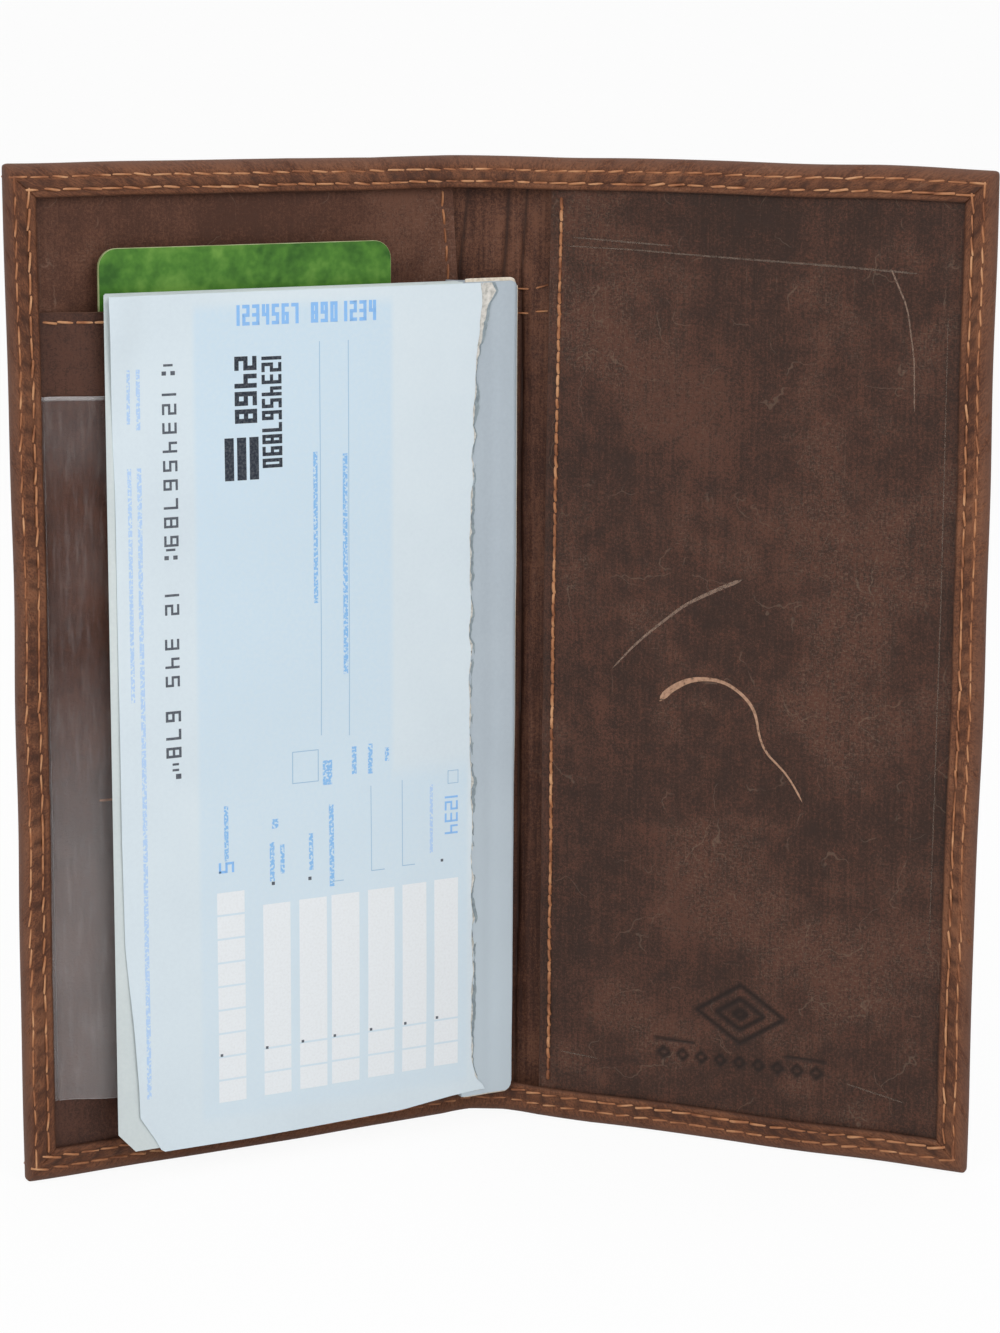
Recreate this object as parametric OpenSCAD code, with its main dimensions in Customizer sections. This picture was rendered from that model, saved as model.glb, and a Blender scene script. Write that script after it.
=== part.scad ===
// Checkbook cover of brown leather, standing open in a V on its bottom edge.
// It holds a pad of deposit slips over the left panel and a card in a pocket behind the pad.
// Origin: foot of the spine, at the middle of its turned hem. +Z is up, and the covers open towards -Y.
// Each panel is drawn flat in its own frame: X runs from the fold line to the outer edge,
// Y runs from the middle of the outer leather to the inside, and Z is up.

/* [Cover] */
// Height of the cover
cover_h = 174; // [165:1:200]
// Width of each panel, from its fold line to its outer edge
panel_w = 84; // [82:1:100]
// Width of the spine, between the two fold lines
spine_w = 14; // [13.5:0.5:20]
// Angle that the left panel stands forward of the spine
left_lean = 27.5; // [15:0.5:40]
// Angle that the right panel stands forward of the spine
right_lean = 22.5; // [15:0.5:40]
// Radius of the outer corners
corner_r = 1; // [1:0.5:6]

/* [Leather] */
// Thickness of the outer leather
outer_t = 1.1; // [0.9:0.1:1.4]
// Thickness of the shielding lining against the outer leather
shield_t = 0.25; // [0.15:0.05:0.4]
// Thickness of the thin leather that lines the spine
lining_t = 0.5; // [0.4:0.05:0.6]
// Thickness of the inner panels
inner_t = 0.7; // [0.5:0.05:0.8]
// Width of the hem, where the outer leather is turned over the inner panels
hem_w = 5.5; // [5:0.5:8]
// Thickness of the turned hem, which is pared thin
hem_t = 0.8; // [0.6:0.05:1]
// How far the spine lining runs on under each inner panel
lining_tuck = 4; // [3:0.5:6]
// Distance below the top edge of the seam where the upper spine lining laps over the lower one
lining_seam_drop = 25; // [20:1:54]
// Height of that lap, where both linings are pared to half their thickness
lining_lap = 8; // [6:0.5:12]

/* [Pockets] */
// Distance of the left panel's open edge from the left fold line
left_mouth = 3; // [2.5:0.5:5]
// Distance of the right pocket's open edge from the right fold line
right_mouth = 4; // [3:0.5:6]
// Room for a backer between the spine lining and the left inner panel
backer_room = 0.45; // [0.4:0.05:0.6]
// Distance of the card pocket's open edge below the top edge
card_mouth_drop = 24; // [20:1:34]
// Distance below the card of the seam that closes its pocket
card_seam_drop = 8.9; // [4:0.1:20]
// Width of the strip along the card pocket's open edge that lies flat
pocket_flat = 3.8; // [3:0.1:4.5]
// Width of the strip beside the hem where the card pocket lies flat
hem_flat = 1.5; // [0.5:0.1:2]
// How far the right pocket bows forward in its middle
pocket_bow = 0.25; // [0.1:0.05:0.4]

/* [Stitching] */
// Distance of the outer row of stitches from the edge
outer_row = 1.7; // [1.5:0.1:2.5]
// Distance between the two rows of stitches on the hem
row_gap = 2.3; // [2:0.1:2.8]
// Distance of a pocket's row of stitches from its open edge
mouth_row = 2.1; // [1.5:0.1:2.5]
// Width of the thread
thread_w = 0.6; // [0.4:0.05:0.8]
// Height of the thread above the leather
thread_t = 0.2; // [0.1:0.05:0.3]

/* [Card] */
// Width of the card
card_w = 54; // [50:0.5:56]
// Height of the card
card_h = 85.6; // [80:0.2:90]
// Thickness of the card
card_t = 0.76; // [0.5:0.02:0.9]
// Radius of the card's corners
card_r = 3.2; // [1:0.1:5]
// How far the card sits outwards of the middle of its pocket
card_off = 1.15; // [0.5:0.05:2.4]
// How far the card stands above the pocket's open edge
card_show = 10.5; // [4:0.5:14]

/* [Divider] */
// Thickness of the clear film
film_t = 0.2; // [0.1:0.02:0.25]
// Width of the divider flap, from its crease to its free edge
flap_w = 45; // [35:1:48]
// Height of the flap's bottom edge
flap_z = 13.5; // [8:0.5:20]
// Height of the flap from bottom to top
flap_h = 122.5; // [100:0.5:130]
// Width of the strip that is sewn under the hem
film_sewn_w = 2.4; // [1.5:0.1:3]

/* [Pad] */
// Width of the slips, from the tear line to the free edge
slip_w = 66.8; // [60:0.2:72]
// Height of the slips
slip_h = 147; // [130:0.5:150]
// How far the pad's bottom edge lies above the hem
slip_lift = 0.5; // [0.3:0.1:4]
// Side of the corner that is worn off the block of slips
worn_corner = 3.2; // [1:0.1:5]
// Thickness of the block of slips
slips_t = 3.1; // [2:0.1:3.3]
// Thickness of the front slip
front_slip_t = 0.15; // [0.1:0.01:0.2]
// Width of the bound stub beyond the tear line
stub_w = 11; // [8:0.1:11.5]
// How far the stub lies below the face of the slips
stub_drop = 0.1; // [0.05:0.05:0.5]
// Radius of the stub's corners
stub_r = 1.5; // [0.5:0.1:3]
// Thickness of the backer card
backer_t = 0.3; // [0.2:0.02:0.35]
// Width of the backer inside the pocket
backer_w = 60; // [40:1:70]
// Length of the front slip's dog-eared corner along its free edge
ear_h = 12; // [6:1:20]
// Length of that corner along the bottom edge
ear_w = 7; // [4:1:12]

/* [Clearances] */
// Gap between flat pieces that lie on each other
lay_gap = 0.05; // [0.04:0.01:0.1]
// Gap beside a piece that slides or turns
slide_gap = 0.1; // [0.08:0.01:0.15]
// Space that stays between two hems when the cover is shut against the spine
fold_gap = 0.2; // [0.15:0.05:0.4]

/* [Hidden] */

thread_tan = "#a8622f";
hide = "#5b3a2b";
hide_dark = "#4e3a30";
hide_edge = "#6e4126";
foil = "#8a8d90";
paper_blue = "#d5e3ec";
paper_grey = "#aab8c2";
manila = "#dccfb0";
card_green = "#4f8b57";
clear_film = [0.8, 0.85, 0.88, 0.5];

// Layers, counted from the middle of the outer leather towards the inside.
outer_front = outer_t / 2;
shield_front = outer_front + shield_t;
lining_front = outer_front + lining_t;
backer_back = lining_front + lay_gap;
panel_back = lining_front + backer_room;
panel_front = panel_back + inner_t;
pocket_front = panel_front + inner_t;
hem_back = pocket_front + film_t + lay_gap;
hem_front = hem_back + hem_t;
card_back = hem_front + thread_t + slide_gap;
card_front = card_back + card_t;
bulge_back = card_front + slide_gap;
bulge = bulge_back - panel_front;
flap_back = bulge_back + inner_t + slide_gap;
flap_front = flap_back + film_t;
slips_back = flap_front + slide_gap;
slips_front = slips_back + slips_t;
top_back = slips_front + lay_gap;
stub_front = slips_front - stub_drop;

// Each fold line has this much soft leather on both sides, so that the turned hems can stand square.
fold_half = hem_front + fold_gap;
spine_half = spine_w / 2 - fold_half;
edge_x = panel_w - outer_t;
hem_x = panel_w - hem_w;
inside_z = outer_t + lay_gap;
thread_rows = [outer_row, outer_row + row_gap];

lining_seam_z = cover_h - lining_seam_drop;
lining_mid = outer_front + lining_t / 2;

// The card's place, and the slopes on which its pocket rises over it from both sides.
card_mouth_z = cover_h - card_mouth_drop;
card_z = card_mouth_z + card_show - card_h;
card_seam_z = card_z - card_seam_drop;
card_x = (left_mouth + hem_x - card_w) / 2 + card_off;
card_left = card_x - slide_gap;
card_right = card_x + card_w + slide_gap;
slope_in = card_left - left_mouth - pocket_flat;
slope_out = hem_x - hem_flat - card_right;

slip_x = left_mouth + lay_gap;
slip_z = hem_w + slip_lift;
crease_x = hem_x - 2 * slide_gap;

// The rolled edge: how far the outline is drawn in at each layer, from the back to the front.
roll = 0.8;
rolled = [[-outer_front, roll], [-outer_front + roll / 3, roll / 3], [-outer_front + roll, 0],
    [hem_front - roll, 0], [hem_front - roll / 3, roll / 3], [hem_front, roll]];

// The fold lines lie this far behind the origin, so that the origin is in the middle of the foot.
fold_y = (hem_front - outer_front) / 2;

function smooth(t) = t <= 0 ? 0 : (t >= 1 ? 1 : t * t * (3 - 2 * t));

// A hump that rises over one slope up to from, stays up, and falls over another slope beyond to.
function hump(v, from, to, rise, fall) = smooth((v - from + rise) / rise) * smooth((to + fall - v) / fall);

// Even steps from a to b.
function steps(a, b, n) = [for (i = [0:n]) a + (b - a) * i / n];

// A quarter circle around a centre, from one angle to another.
function arc(centre, r, from, to, n = 6) =
    [for (t = steps(from, to, n)) centre + r * [cos(t), sin(t)]];

// Stands a panel's flat frame at the left or the right fold line, and the spine between them.
module at_left() {
    translate([-spine_w / 2, fold_y, 0]) rotate([0, 0, 180 + left_lean]) children();
}

module at_right() {
    mirror([1, 0, 0]) translate([-spine_w / 2, fold_y, 0]) rotate([0, 0, 180 + right_lean]) children();
}

module at_spine() {
    translate([0, fold_y, 0]) children();
}

// A flat layer of a panel between two widths and two heights.
module layer(x0, x1, back, front, z0, z1) {
    translate([x0, back, z0]) cube([x1 - x0, front - back, z1 - z0]);
}

// A layer whose outline is a drawing in X and Z.
module cut_layer(back, front) {
    translate([0, front, 0]) rotate([90, 0, 0]) linear_extrude(front - back) children();
}

// A sheet of even thickness whose back follows a relief over a grid of widths and heights.
module formed_sheet(xs, zs, thick, relief) {
    nx = len(xs);
    nz = len(zs);
    half = nx * nz;
    points = concat(
        [for (z = zs) for (x = xs) [x, relief(x, z), z]],
        [for (z = zs) for (x = xs) [x, relief(x, z) + thick, z]]);
    quads = concat(
        [for (j = [0:nz - 2]) for (i = [0:nx - 2])
            [j * nx + i, (j + 1) * nx + i, (j + 1) * nx + i + 1, j * nx + i + 1]],
        [for (j = [0:nz - 2]) for (i = [0:nx - 2])
            [half + j * nx + i, half + j * nx + i + 1, half + (j + 1) * nx + i + 1, half + (j + 1) * nx + i]],
        [for (i = [0:nx - 2]) [i, i + 1, half + i + 1, half + i]],
        [for (i = [0:nx - 2]) let (k = (nz - 1) * nx + i) [k + 1, k, half + k, half + k + 1]],
        [for (j = [0:nz - 2]) [(j + 1) * nx, j * nx, half + j * nx, half + (j + 1) * nx]],
        [for (j = [0:nz - 2]) let (k = j * nx + nx - 1) [k, k + nx, half + k + nx, half + k]]);
    polyhedron(points, [for (q = quads) for (t = [[q[0], q[1], q[2]], [q[0], q[2], q[3]]]) t]);
}

// Section of the outer leather and its two turned hems, as [layer, height] points.
function wrap_section() = concat(
    [for (p = rolled) [p[0], p[1]]],
    [[hem_front, hem_w], [hem_back, hem_w], [hem_back, outer_t], [outer_front, outer_t]],
    [[outer_front, cover_h - outer_t], [hem_back, cover_h - outer_t]],
    [[hem_back, cover_h - hem_w], [hem_front, cover_h - hem_w]],
    [for (i = [len(rolled) - 1:-1:0]) [rolled[i][0], cover_h - rolled[i][1]]]);

// Outline of a panel drawn in by inset on its three hemmed sides, as [width, height] points.
function panel_outline(inset) = concat(
    [[fold_half, cover_h - inset], [fold_half, inset]],
    arc([panel_w - corner_r, corner_r], corner_r - inset, -90, 0),
    arc([panel_w - corner_r, cover_h - corner_r], corner_r - inset, 0, 90));

// Outer leather of a panel: a rolled slab, hollowed for the inner layers and opened inside the hem.
module wrapped_panel() {
    rings = [for (p = rolled) [for (q = panel_outline(p[1])) [q[0], p[0], q[1]]]];
    n = len(rings[0]);
    last = (len(rings) - 1) * n;
    sides = [for (k = [0:len(rings) - 2]) for (i = [0:n - 1]) let (j = (i + 1) % n)
        [k * n + i, (k + 1) * n + i, (k + 1) * n + j, k * n + j]];
    difference() {
        polyhedron([for (ring = rings) for (p = ring) p],
            concat([[for (i = [0:n - 1]) i]], [[for (i = [n - 1:-1:0]) last + i]], sides));
        layer(fold_half - 1, edge_x, outer_front, hem_back, outer_t, cover_h - outer_t);
        layer(fold_half - 1, hem_x, hem_back - 0.1, hem_front + 1, hem_w, cover_h - hem_w);
    }
}

// Soft leather of one fold, bent evenly from the spine to the panel, on the left side.
module bent_wrap(lean) {
    bend_r = fold_half / tan(lean / 2);
    translate([-spine_w / 2 + fold_half, -bend_r, 0]) rotate([0, 0, 90])
        rotate_extrude(angle = lean, $fn = 180) polygon([for (p = wrap_section()) [bend_r - p[0], p[1]]]);
}

// Plan of the spine lining with its back at a given layer, from the left tuck to the right one.
function lining_path(level) =
    let (bend_l = fold_half / tan(left_lean / 2), bend_r = fold_half / tan(right_lean / 2),
        left_end = left_mouth + lining_tuck, right_end = right_mouth + lining_tuck,
        dl = [-cos(left_lean), -sin(left_lean)], nl = [sin(left_lean), -cos(left_lean)],
        dr = [cos(right_lean), -sin(right_lean)], nr = [-sin(right_lean), -cos(right_lean)])
    concat(
        [[-spine_w / 2, 0] + dl * left_end + nl * level],
        [for (t = steps(90 + left_lean, 90, 6)) [-spine_half, -bend_l] + (bend_l - level) * [cos(t), sin(t)]],
        [for (t = steps(90, 90 - right_lean, 6)) [spine_half, -bend_r] + (bend_r - level) * [cos(t), sin(t)]],
        [[spine_w / 2, 0] + dr * right_end + nr * level]);

function backwards(list) = [for (i = [len(list) - 1:-1:0]) list[i]];

// A strip of the spine lining between two layers and two heights.
module lining_strip(back, front, z0, z1) {
    translate([0, 0, z0]) linear_extrude(z1 - z0)
        polygon(concat(lining_path(back), backwards(lining_path(front))));
}

// Rows of border thread on one panel, along the top, the outer edge and the bottom.
module border_rows() {
    y0 = hem_front;
    y1 = hem_front + thread_t;
    for (row = thread_rows) {
        far = panel_w - row;
        low = row - thread_w / 2;
        high = cover_h - row - thread_w / 2;
        layer(fold_half, far + thread_w / 2, y0, y1, low, low + thread_w);
        layer(fold_half, far + thread_w / 2, y0, y1, high, high + thread_w);
        layer(far - thread_w / 2, far + thread_w / 2, y0, y1, low, high + thread_w);
    }
}

module cover_spine() {
    color(hide_edge) at_spine() translate([-spine_half, 0, 0]) rotate([90, 0, 90])
        linear_extrude(2 * spine_half) polygon([for (p = wrap_section()) [-p[0], p[1]]]);
}

module fold_left() {
    color(hide_edge) at_spine() bent_wrap(left_lean);
}

module fold_right() {
    color(hide_edge) at_spine() mirror([1, 0, 0]) bent_wrap(right_lean);
}

// The lower lining, with its top edge pared from the front.
module spine_lining_lower() {
    color(hide) at_spine() {
        lining_strip(outer_front, lining_front, inside_z, lining_seam_z - lining_lap / 2);
        lining_strip(outer_front, lining_mid, inside_z, lining_seam_z + lining_lap / 2);
    }
}

// The upper lining, with its bottom edge pared from the back, so that the lap is no thicker than the rest.
module spine_lining_upper() {
    color(hide) at_spine() {
        lining_strip(outer_front, lining_front, lining_seam_z + lining_lap / 2 + lay_gap, cover_h - inside_z);
        lining_strip(lining_mid, lining_front, lining_seam_z - lining_lap / 2 + lay_gap, cover_h - inside_z);
    }
}

module border_thread_spine() {
    color(thread_tan) at_spine() for (row = thread_rows) for (z = [row, cover_h - row])
        translate([-spine_half, -hem_front - thread_t, z - thread_w / 2])
            cube([2 * spine_half, thread_t, thread_w]);
}

module cover_left() {
    color(hide_edge) at_left() wrapped_panel();
}

module shield_left() {
    color(foil) at_left() layer(left_mouth + lining_tuck + lay_gap, edge_x - lay_gap, outer_front,
        shield_front, inside_z, cover_h - inside_z);
}

module left_inner_panel() {
    color(hide) at_left() layer(left_mouth, edge_x - lay_gap, panel_back, panel_front, inside_z,
        cover_h - inside_z);
}

// Height of the card pocket's back above the inner panel, over the card and its slopes.
function pocket_rise(x, z) = bulge * hump(x, card_left, card_right, slope_in, slope_out)
    * smooth((z - card_seam_z - thread_w) / (card_seam_drop - thread_w));

module card_pocket_panel() {
    xs = concat([left_mouth], steps(card_left - slope_in, card_left, 6),
        steps(card_right, card_right + slope_out, 6), [edge_x - lay_gap]);
    zs = concat([inside_z, card_seam_z], steps(card_seam_z + thread_w, card_z, 6), [card_mouth_z]);
    color(hide) at_left() formed_sheet(xs, zs, inner_t, function (x, z) panel_front + pocket_rise(x, z));
}

// Row of thread just below the card pocket's open edge, following the leather up over the card.
module card_pocket_thread() {
    z0 = card_mouth_z - mouth_row;
    xs = concat([left_mouth + mouth_row], steps(card_left - slope_in, card_left, 6),
        steps(card_right, card_right + slope_out, 6));
    color(thread_tan) at_left() formed_sheet(xs, [z0 - thread_w / 2, z0 + thread_w / 2], thread_t,
        function (x, z) pocket_front + pocket_rise(x, z));
}

module card_pocket_seam() {
    color(thread_tan) at_left() layer(card_x, card_x + card_w, pocket_front, pocket_front + thread_t,
        card_seam_z - thread_w / 2, card_seam_z + thread_w / 2);
}

// Row of thread along the left panel's open edge: on the pocket below, and on the inner panel above it.
module left_mouth_thread() {
    x0 = left_mouth + mouth_row - thread_w / 2;
    color(thread_tan) at_left() {
        layer(x0, x0 + thread_w, pocket_front, pocket_front + thread_t, hem_w, card_mouth_z - mouth_row
            - thread_w);
        layer(x0, x0 + thread_w, panel_front, panel_front + thread_t, card_mouth_z + lay_gap,
            cover_h - hem_w);
    }
}

module border_thread_left() {
    color(thread_tan) at_left() border_rows();
}

module divider_sewn_edge() {
    color(clear_film) at_left() layer(hem_x, hem_x + film_sewn_w, pocket_front, pocket_front + film_t,
        flap_z, flap_z + flap_h);
}

// The flap rises from its crease beside the hem, over the card pocket, and then lies flat.
module divider_flap() {
    rise = flap_back - pocket_front - slide_gap;
    xs = concat(steps(crease_x - lay_gap, card_right, 8), [crease_x - flap_w]);
    back = [for (x = xs) [x, pocket_front + slide_gap
        + rise * smooth((card_right + slope_out - x) / slope_out)]];
    color(clear_film) at_left() translate([0, 0, flap_z]) linear_extrude(flap_h)
        polygon(concat(back, [for (p = backwards(back)) p + [0, film_t]]));
}

module card() {
    color(card_green) at_left() cut_layer(card_back, card_front) translate([card_x, card_z])
        translate([card_r, card_r]) offset(card_r, $fn = 32) square([card_w - 2 * card_r, card_h - 2 * card_r]);
}

module pad_backer() {
    color(manila) at_left() layer(slip_x + lay_gap, slip_x + backer_w, backer_back, backer_back + backer_t,
        slip_z, slip_z + slip_h);
}

// Bound end of the pad: the backer leaves the pocket, lies in front of the spine and turns up into the stub.
module pad_stub() {
    root = slip_x - lay_gap;
    end = slip_x - stub_w;
    // Distance in front of the spine of the backer's back, at the pocket's open edge
    reach = (root + lay_gap) * sin(left_lean) + backer_back * cos(left_lean);
    function level(x, front) = (front - x * sin(left_lean)) / cos(left_lean);
    inner = (reach + backer_t - slips_back * cos(left_lean)) / sin(left_lean);
    color(paper_grey) at_left() intersection() {
        translate([0, 0, slip_z]) linear_extrude(slip_h) polygon([
            [root, slips_back], [root, stub_front], [end, stub_front], [end, level(end, reach)],
            [root + lay_gap, backer_back], [root + lay_gap, level(root + lay_gap, reach + backer_t)],
            [inner, slips_back]]);
        cut_layer(0, stub_front + 1) translate([end, slip_z]) translate([stub_r, stub_r])
            offset(stub_r, $fn = 32) square([3 * stub_w, slip_h - 2 * stub_r]);
    }
}

// A slip's outline, with its lower outer corner off.
module slip_outline(off_x, off_z) {
    polygon([[slip_x, slip_z], [slip_x + slip_w - off_x, slip_z], [slip_x + slip_w, slip_z + off_z],
        [slip_x + slip_w, slip_z + slip_h], [slip_x, slip_z + slip_h]]);
}

module pad_slips() {
    color(paper_blue) at_left() cut_layer(slips_back, slips_front) slip_outline(worn_corner, worn_corner);
}

module pad_top_slip() {
    color(paper_blue) at_left() cut_layer(top_back, top_back + front_slip_t) slip_outline(ear_w, ear_h);
}

module cover_right() {
    color(hide_edge) at_right() wrapped_panel();
}

module shield_right() {
    color(foil) at_right() layer(right_mouth + lining_tuck + lay_gap, edge_x - lay_gap, outer_front,
        shield_front, inside_z, cover_h - inside_z);
}

// The right pocket lies under the hem on three sides and bows forward a little between them.
module right_pocket_panel() {
    xs = concat([right_mouth], steps(right_mouth + mouth_row + thread_w, hem_x, 10), [edge_x - lay_gap]);
    zs = concat([inside_z], steps(hem_w, cover_h - hem_w, 12), [cover_h - inside_z]);
    mid = (right_mouth + hem_x) / 2;
    half_w = mid - right_mouth - mouth_row - thread_w;
    half_h = cover_h / 2 - hem_w;
    color(hide_dark) at_right() formed_sheet(xs, zs, inner_t, function (x, z) panel_front
        + pocket_bow * hump(x, mid, mid, half_w, half_w) * hump(z, cover_h / 2, cover_h / 2, half_h, half_h));
}

module right_mouth_thread() {
    x0 = right_mouth + mouth_row - thread_w / 2;
    color(thread_tan) at_right() layer(x0, x0 + thread_w, pocket_front, pocket_front + thread_t, hem_w,
        cover_h - hem_w);
}

module border_thread_right() {
    color(thread_tan) at_right() border_rows();
}

cover_spine();
fold_left();
fold_right();
spine_lining_lower();
spine_lining_upper();
border_thread_spine();
cover_left();
shield_left();
left_inner_panel();
card_pocket_panel();
card_pocket_thread();
card_pocket_seam();
left_mouth_thread();
border_thread_left();
divider_sewn_edge();
divider_flap();
card();
pad_backer();
pad_stub();
pad_slips();
pad_top_slip();
cover_right();
shield_right();
right_pocket_panel();
right_mouth_thread();
border_thread_right();
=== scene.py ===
# Open leather checkbook cover that stands in a V, with a pad of slips and a card in its pockets.
import math

import bmesh
import bpy
import numpy as np
from mathutils import Matrix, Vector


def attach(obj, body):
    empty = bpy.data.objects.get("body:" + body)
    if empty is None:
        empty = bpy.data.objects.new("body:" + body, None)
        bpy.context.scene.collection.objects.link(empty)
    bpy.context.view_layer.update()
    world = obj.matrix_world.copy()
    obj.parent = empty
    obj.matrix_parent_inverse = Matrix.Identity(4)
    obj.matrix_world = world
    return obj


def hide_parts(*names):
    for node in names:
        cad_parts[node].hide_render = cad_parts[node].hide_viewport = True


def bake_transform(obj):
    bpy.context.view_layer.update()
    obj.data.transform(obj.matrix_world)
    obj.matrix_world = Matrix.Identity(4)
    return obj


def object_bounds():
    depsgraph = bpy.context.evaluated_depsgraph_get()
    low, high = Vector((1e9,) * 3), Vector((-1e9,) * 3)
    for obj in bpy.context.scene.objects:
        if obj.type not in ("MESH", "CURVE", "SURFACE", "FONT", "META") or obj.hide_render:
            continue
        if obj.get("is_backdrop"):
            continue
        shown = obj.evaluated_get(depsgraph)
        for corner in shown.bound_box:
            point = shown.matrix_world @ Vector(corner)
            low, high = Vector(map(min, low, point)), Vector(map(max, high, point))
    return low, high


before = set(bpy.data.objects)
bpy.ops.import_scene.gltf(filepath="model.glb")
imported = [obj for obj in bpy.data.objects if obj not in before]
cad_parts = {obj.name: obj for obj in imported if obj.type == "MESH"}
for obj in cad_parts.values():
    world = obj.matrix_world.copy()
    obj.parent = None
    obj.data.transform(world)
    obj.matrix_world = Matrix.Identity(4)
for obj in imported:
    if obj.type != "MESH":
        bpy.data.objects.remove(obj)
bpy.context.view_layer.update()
rest = bpy.context.scene


# ---------------------------------------------------------------- The room
# A pale sweep, two large soft lamps in front of the open cover and one above it, and a camera on a
# long lens, a little above the cover's middle. The floor keeps the soft shadow of the cover.
def add(tree, kind, ins=None, **settings):
    """Adds a node, sets its properties, and links or sets its inputs."""
    made = tree.nodes.new(kind)
    for key, value in settings.items():
        setattr(made, key, value)
    for key, value in (ins or {}).items():
        if isinstance(value, bpy.types.NodeSocket):
            tree.links.new(value, made.inputs[key])
        else:
            made.inputs[key].default_value = value
    return made


def tone(red, green, blue):
    """A colour as an eye reads it on a screen, 0 to 255, made linear."""
    line = [c / 255 / 12.92 if c <= 10 else ((c / 255 + 0.055) / 1.055) ** 2.4 for c in (red, green, blue)]
    return (*line, 1.0)


def blank(name):
    """A new material with only its output node."""
    made = bpy.data.materials.new(name)
    made.use_nodes = True
    made.node_tree.nodes.clear()
    return made, made.node_tree, made.node_tree.nodes.new("ShaderNodeOutputMaterial")


def put(name, data):
    """A new object in the scene, round a mesh, a lamp or a camera."""
    made = bpy.data.objects.new(name, data)
    rest.collection.objects.link(made)
    return made


def number(tree, how, first, second, clamp=False):
    """One sum on two numbers."""
    return add(tree, "ShaderNodeMath", {0: first, 1: second}, operation=how, use_clamp=clamp).outputs[0]


def look_along(back, across, up, place):
    """The matrix of a lamp or camera from its own three directions and its place."""
    turned = np.eye(4)
    turned[:3, 0], turned[:3, 1], turned[:3, 2], turned[:3, 3] = across, up, back, place
    return Matrix(turned.tolist())


rest.view_settings.view_transform = "Standard"

sweep_half, sweep_back, sweep_height, sweep_bend = 3.0, 1.6, 3.0, 0.5
sweep = [(-3.0, 0.0)]
for step in range(13):
    turn = math.pi / 2 * step / 12
    sweep.append((sweep_back - sweep_bend + sweep_bend * math.sin(turn), sweep_bend * (1 - math.cos(turn))))
sweep.append((sweep_back, sweep_height))
floor_points = [(side * sweep_half, y, z) for y, z in sweep for side in (-1, 1)]
floor_faces = [(2 * k, 2 * k + 1, 2 * k + 3, 2 * k + 2) for k in range(len(sweep) - 1)]
floor_mesh = bpy.data.meshes.new("studio_sweep")
floor_mesh.from_pydata(floor_points, [], floor_faces)
floor_mesh.polygons.foreach_set("use_smooth", [True] * len(floor_faces))
floor = put("studio_sweep", floor_mesh)
pale_floor, tree, out = blank("pale_floor")
seen = add(tree, "ShaderNodeLightPath").outputs
direct = number(tree, "MAXIMUM", seen["Is Camera Ray"], seen["Is Glossy Ray"])
direct = number(tree, "MAXIMUM", direct, seen["Is Transmission Ray"])
share = number(tree, "MULTIPLY", direct, 0.93)
chalk = add(tree, "ShaderNodeBsdfDiffuse", {"Color": tone(236, 236, 236)})
glow = add(tree, "ShaderNodeEmission", {"Color": (1, 1, 1, 1), "Strength": 1.0})
both = add(tree, "ShaderNodeMixShader", {0: share, 1: chalk.outputs[0], 2: glow.outputs[0]})
tree.links.new(both.outputs[0], out.inputs[0])
floor_mesh.materials.append(pale_floor)
floor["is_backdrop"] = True

world = bpy.data.worlds.new("studio_air")
rest.world = world
world.use_nodes = True
tree = world.node_tree
tree.nodes.clear()
seen = add(tree, "ShaderNodeLightPath")
air = add(tree, "ShaderNodeBackground", {"Color": (1.0, 1.0, 1.0, 1), "Strength": 0.5})
white = add(tree, "ShaderNodeBackground", {"Color": (1, 1, 1, 1), "Strength": 1.0})
both = add(tree, "ShaderNodeMixShader", {0: seen.outputs["Is Camera Ray"], 1: air.outputs[0], 2: white.outputs[0]})
add(tree, "ShaderNodeOutputWorld", {0: both.outputs[0]})

for name, place, aim, size, power in (
        ("lamp_left", (-0.75, -0.95, 0.75), (0, 0, 0.09), 0.9, 6.0),
        ("lamp_right", (0.75, -0.95, 0.85), (0, 0, 0.09), 0.9, 6.6),
        ("lamp_top", (0.1, 0.15, 1.3), (0, 0, 0.05), 1.0, 4.5)):
    lamp = bpy.data.lights.new(name, "AREA")
    lamp.shape, lamp.size, lamp.energy = "SQUARE", size, power
    back = np.array(place) - np.array(aim)
    back /= np.linalg.norm(back)
    across = np.cross((0, 0, 1), back)
    across /= np.linalg.norm(across)
    put(name, lamp).matrix_world = look_along(back, across, np.cross(back, across), place)

lens = bpy.data.cameras.new("camera")
lens.lens, lens.sensor_width, lens.sensor_fit = 92.09, 36.0, "AUTO"
lens.clip_start, lens.clip_end = 0.05, 20
eye_right = (0.99999018, 0.00084984, 0.00434854)
eye_up = (-0.00443081, 0.19180023, 0.98142399)
eye_back = (0.0, -0.98143362, 0.19180211)
camera = put("camera", lens)
camera.matrix_world = look_along(eye_back, eye_right, eye_up, (0.00131, -0.60394, 0.20228))
rest.camera = camera


# ---------------------------------------------------------------- Outer hide with its turned hem
# One piece of pulled-up brown cowhide, 1.1 mm thick, whose edge is turned over all round into a hem of
# some 5 mm, mitred at the corners. Two rows of stitches hold it, and make a groove in both faces.
cover_height, panel_width, half_spine = 174.0, 84.0, 7.0
lean = {"left": 27.5, "right": 22.5}
# The fold's line lies this far back, and the hide bends this far to either side of it.
fold_back, stiff_from = 1.7, 4.15


def lifted(z):
    """The turned foot is a little deeper than a plain strip, so what stands above it is 0.9 mm up."""
    return z + 0.9 * np.clip((np.asarray(z, float) - 2) / 4, 0, 1)


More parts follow.
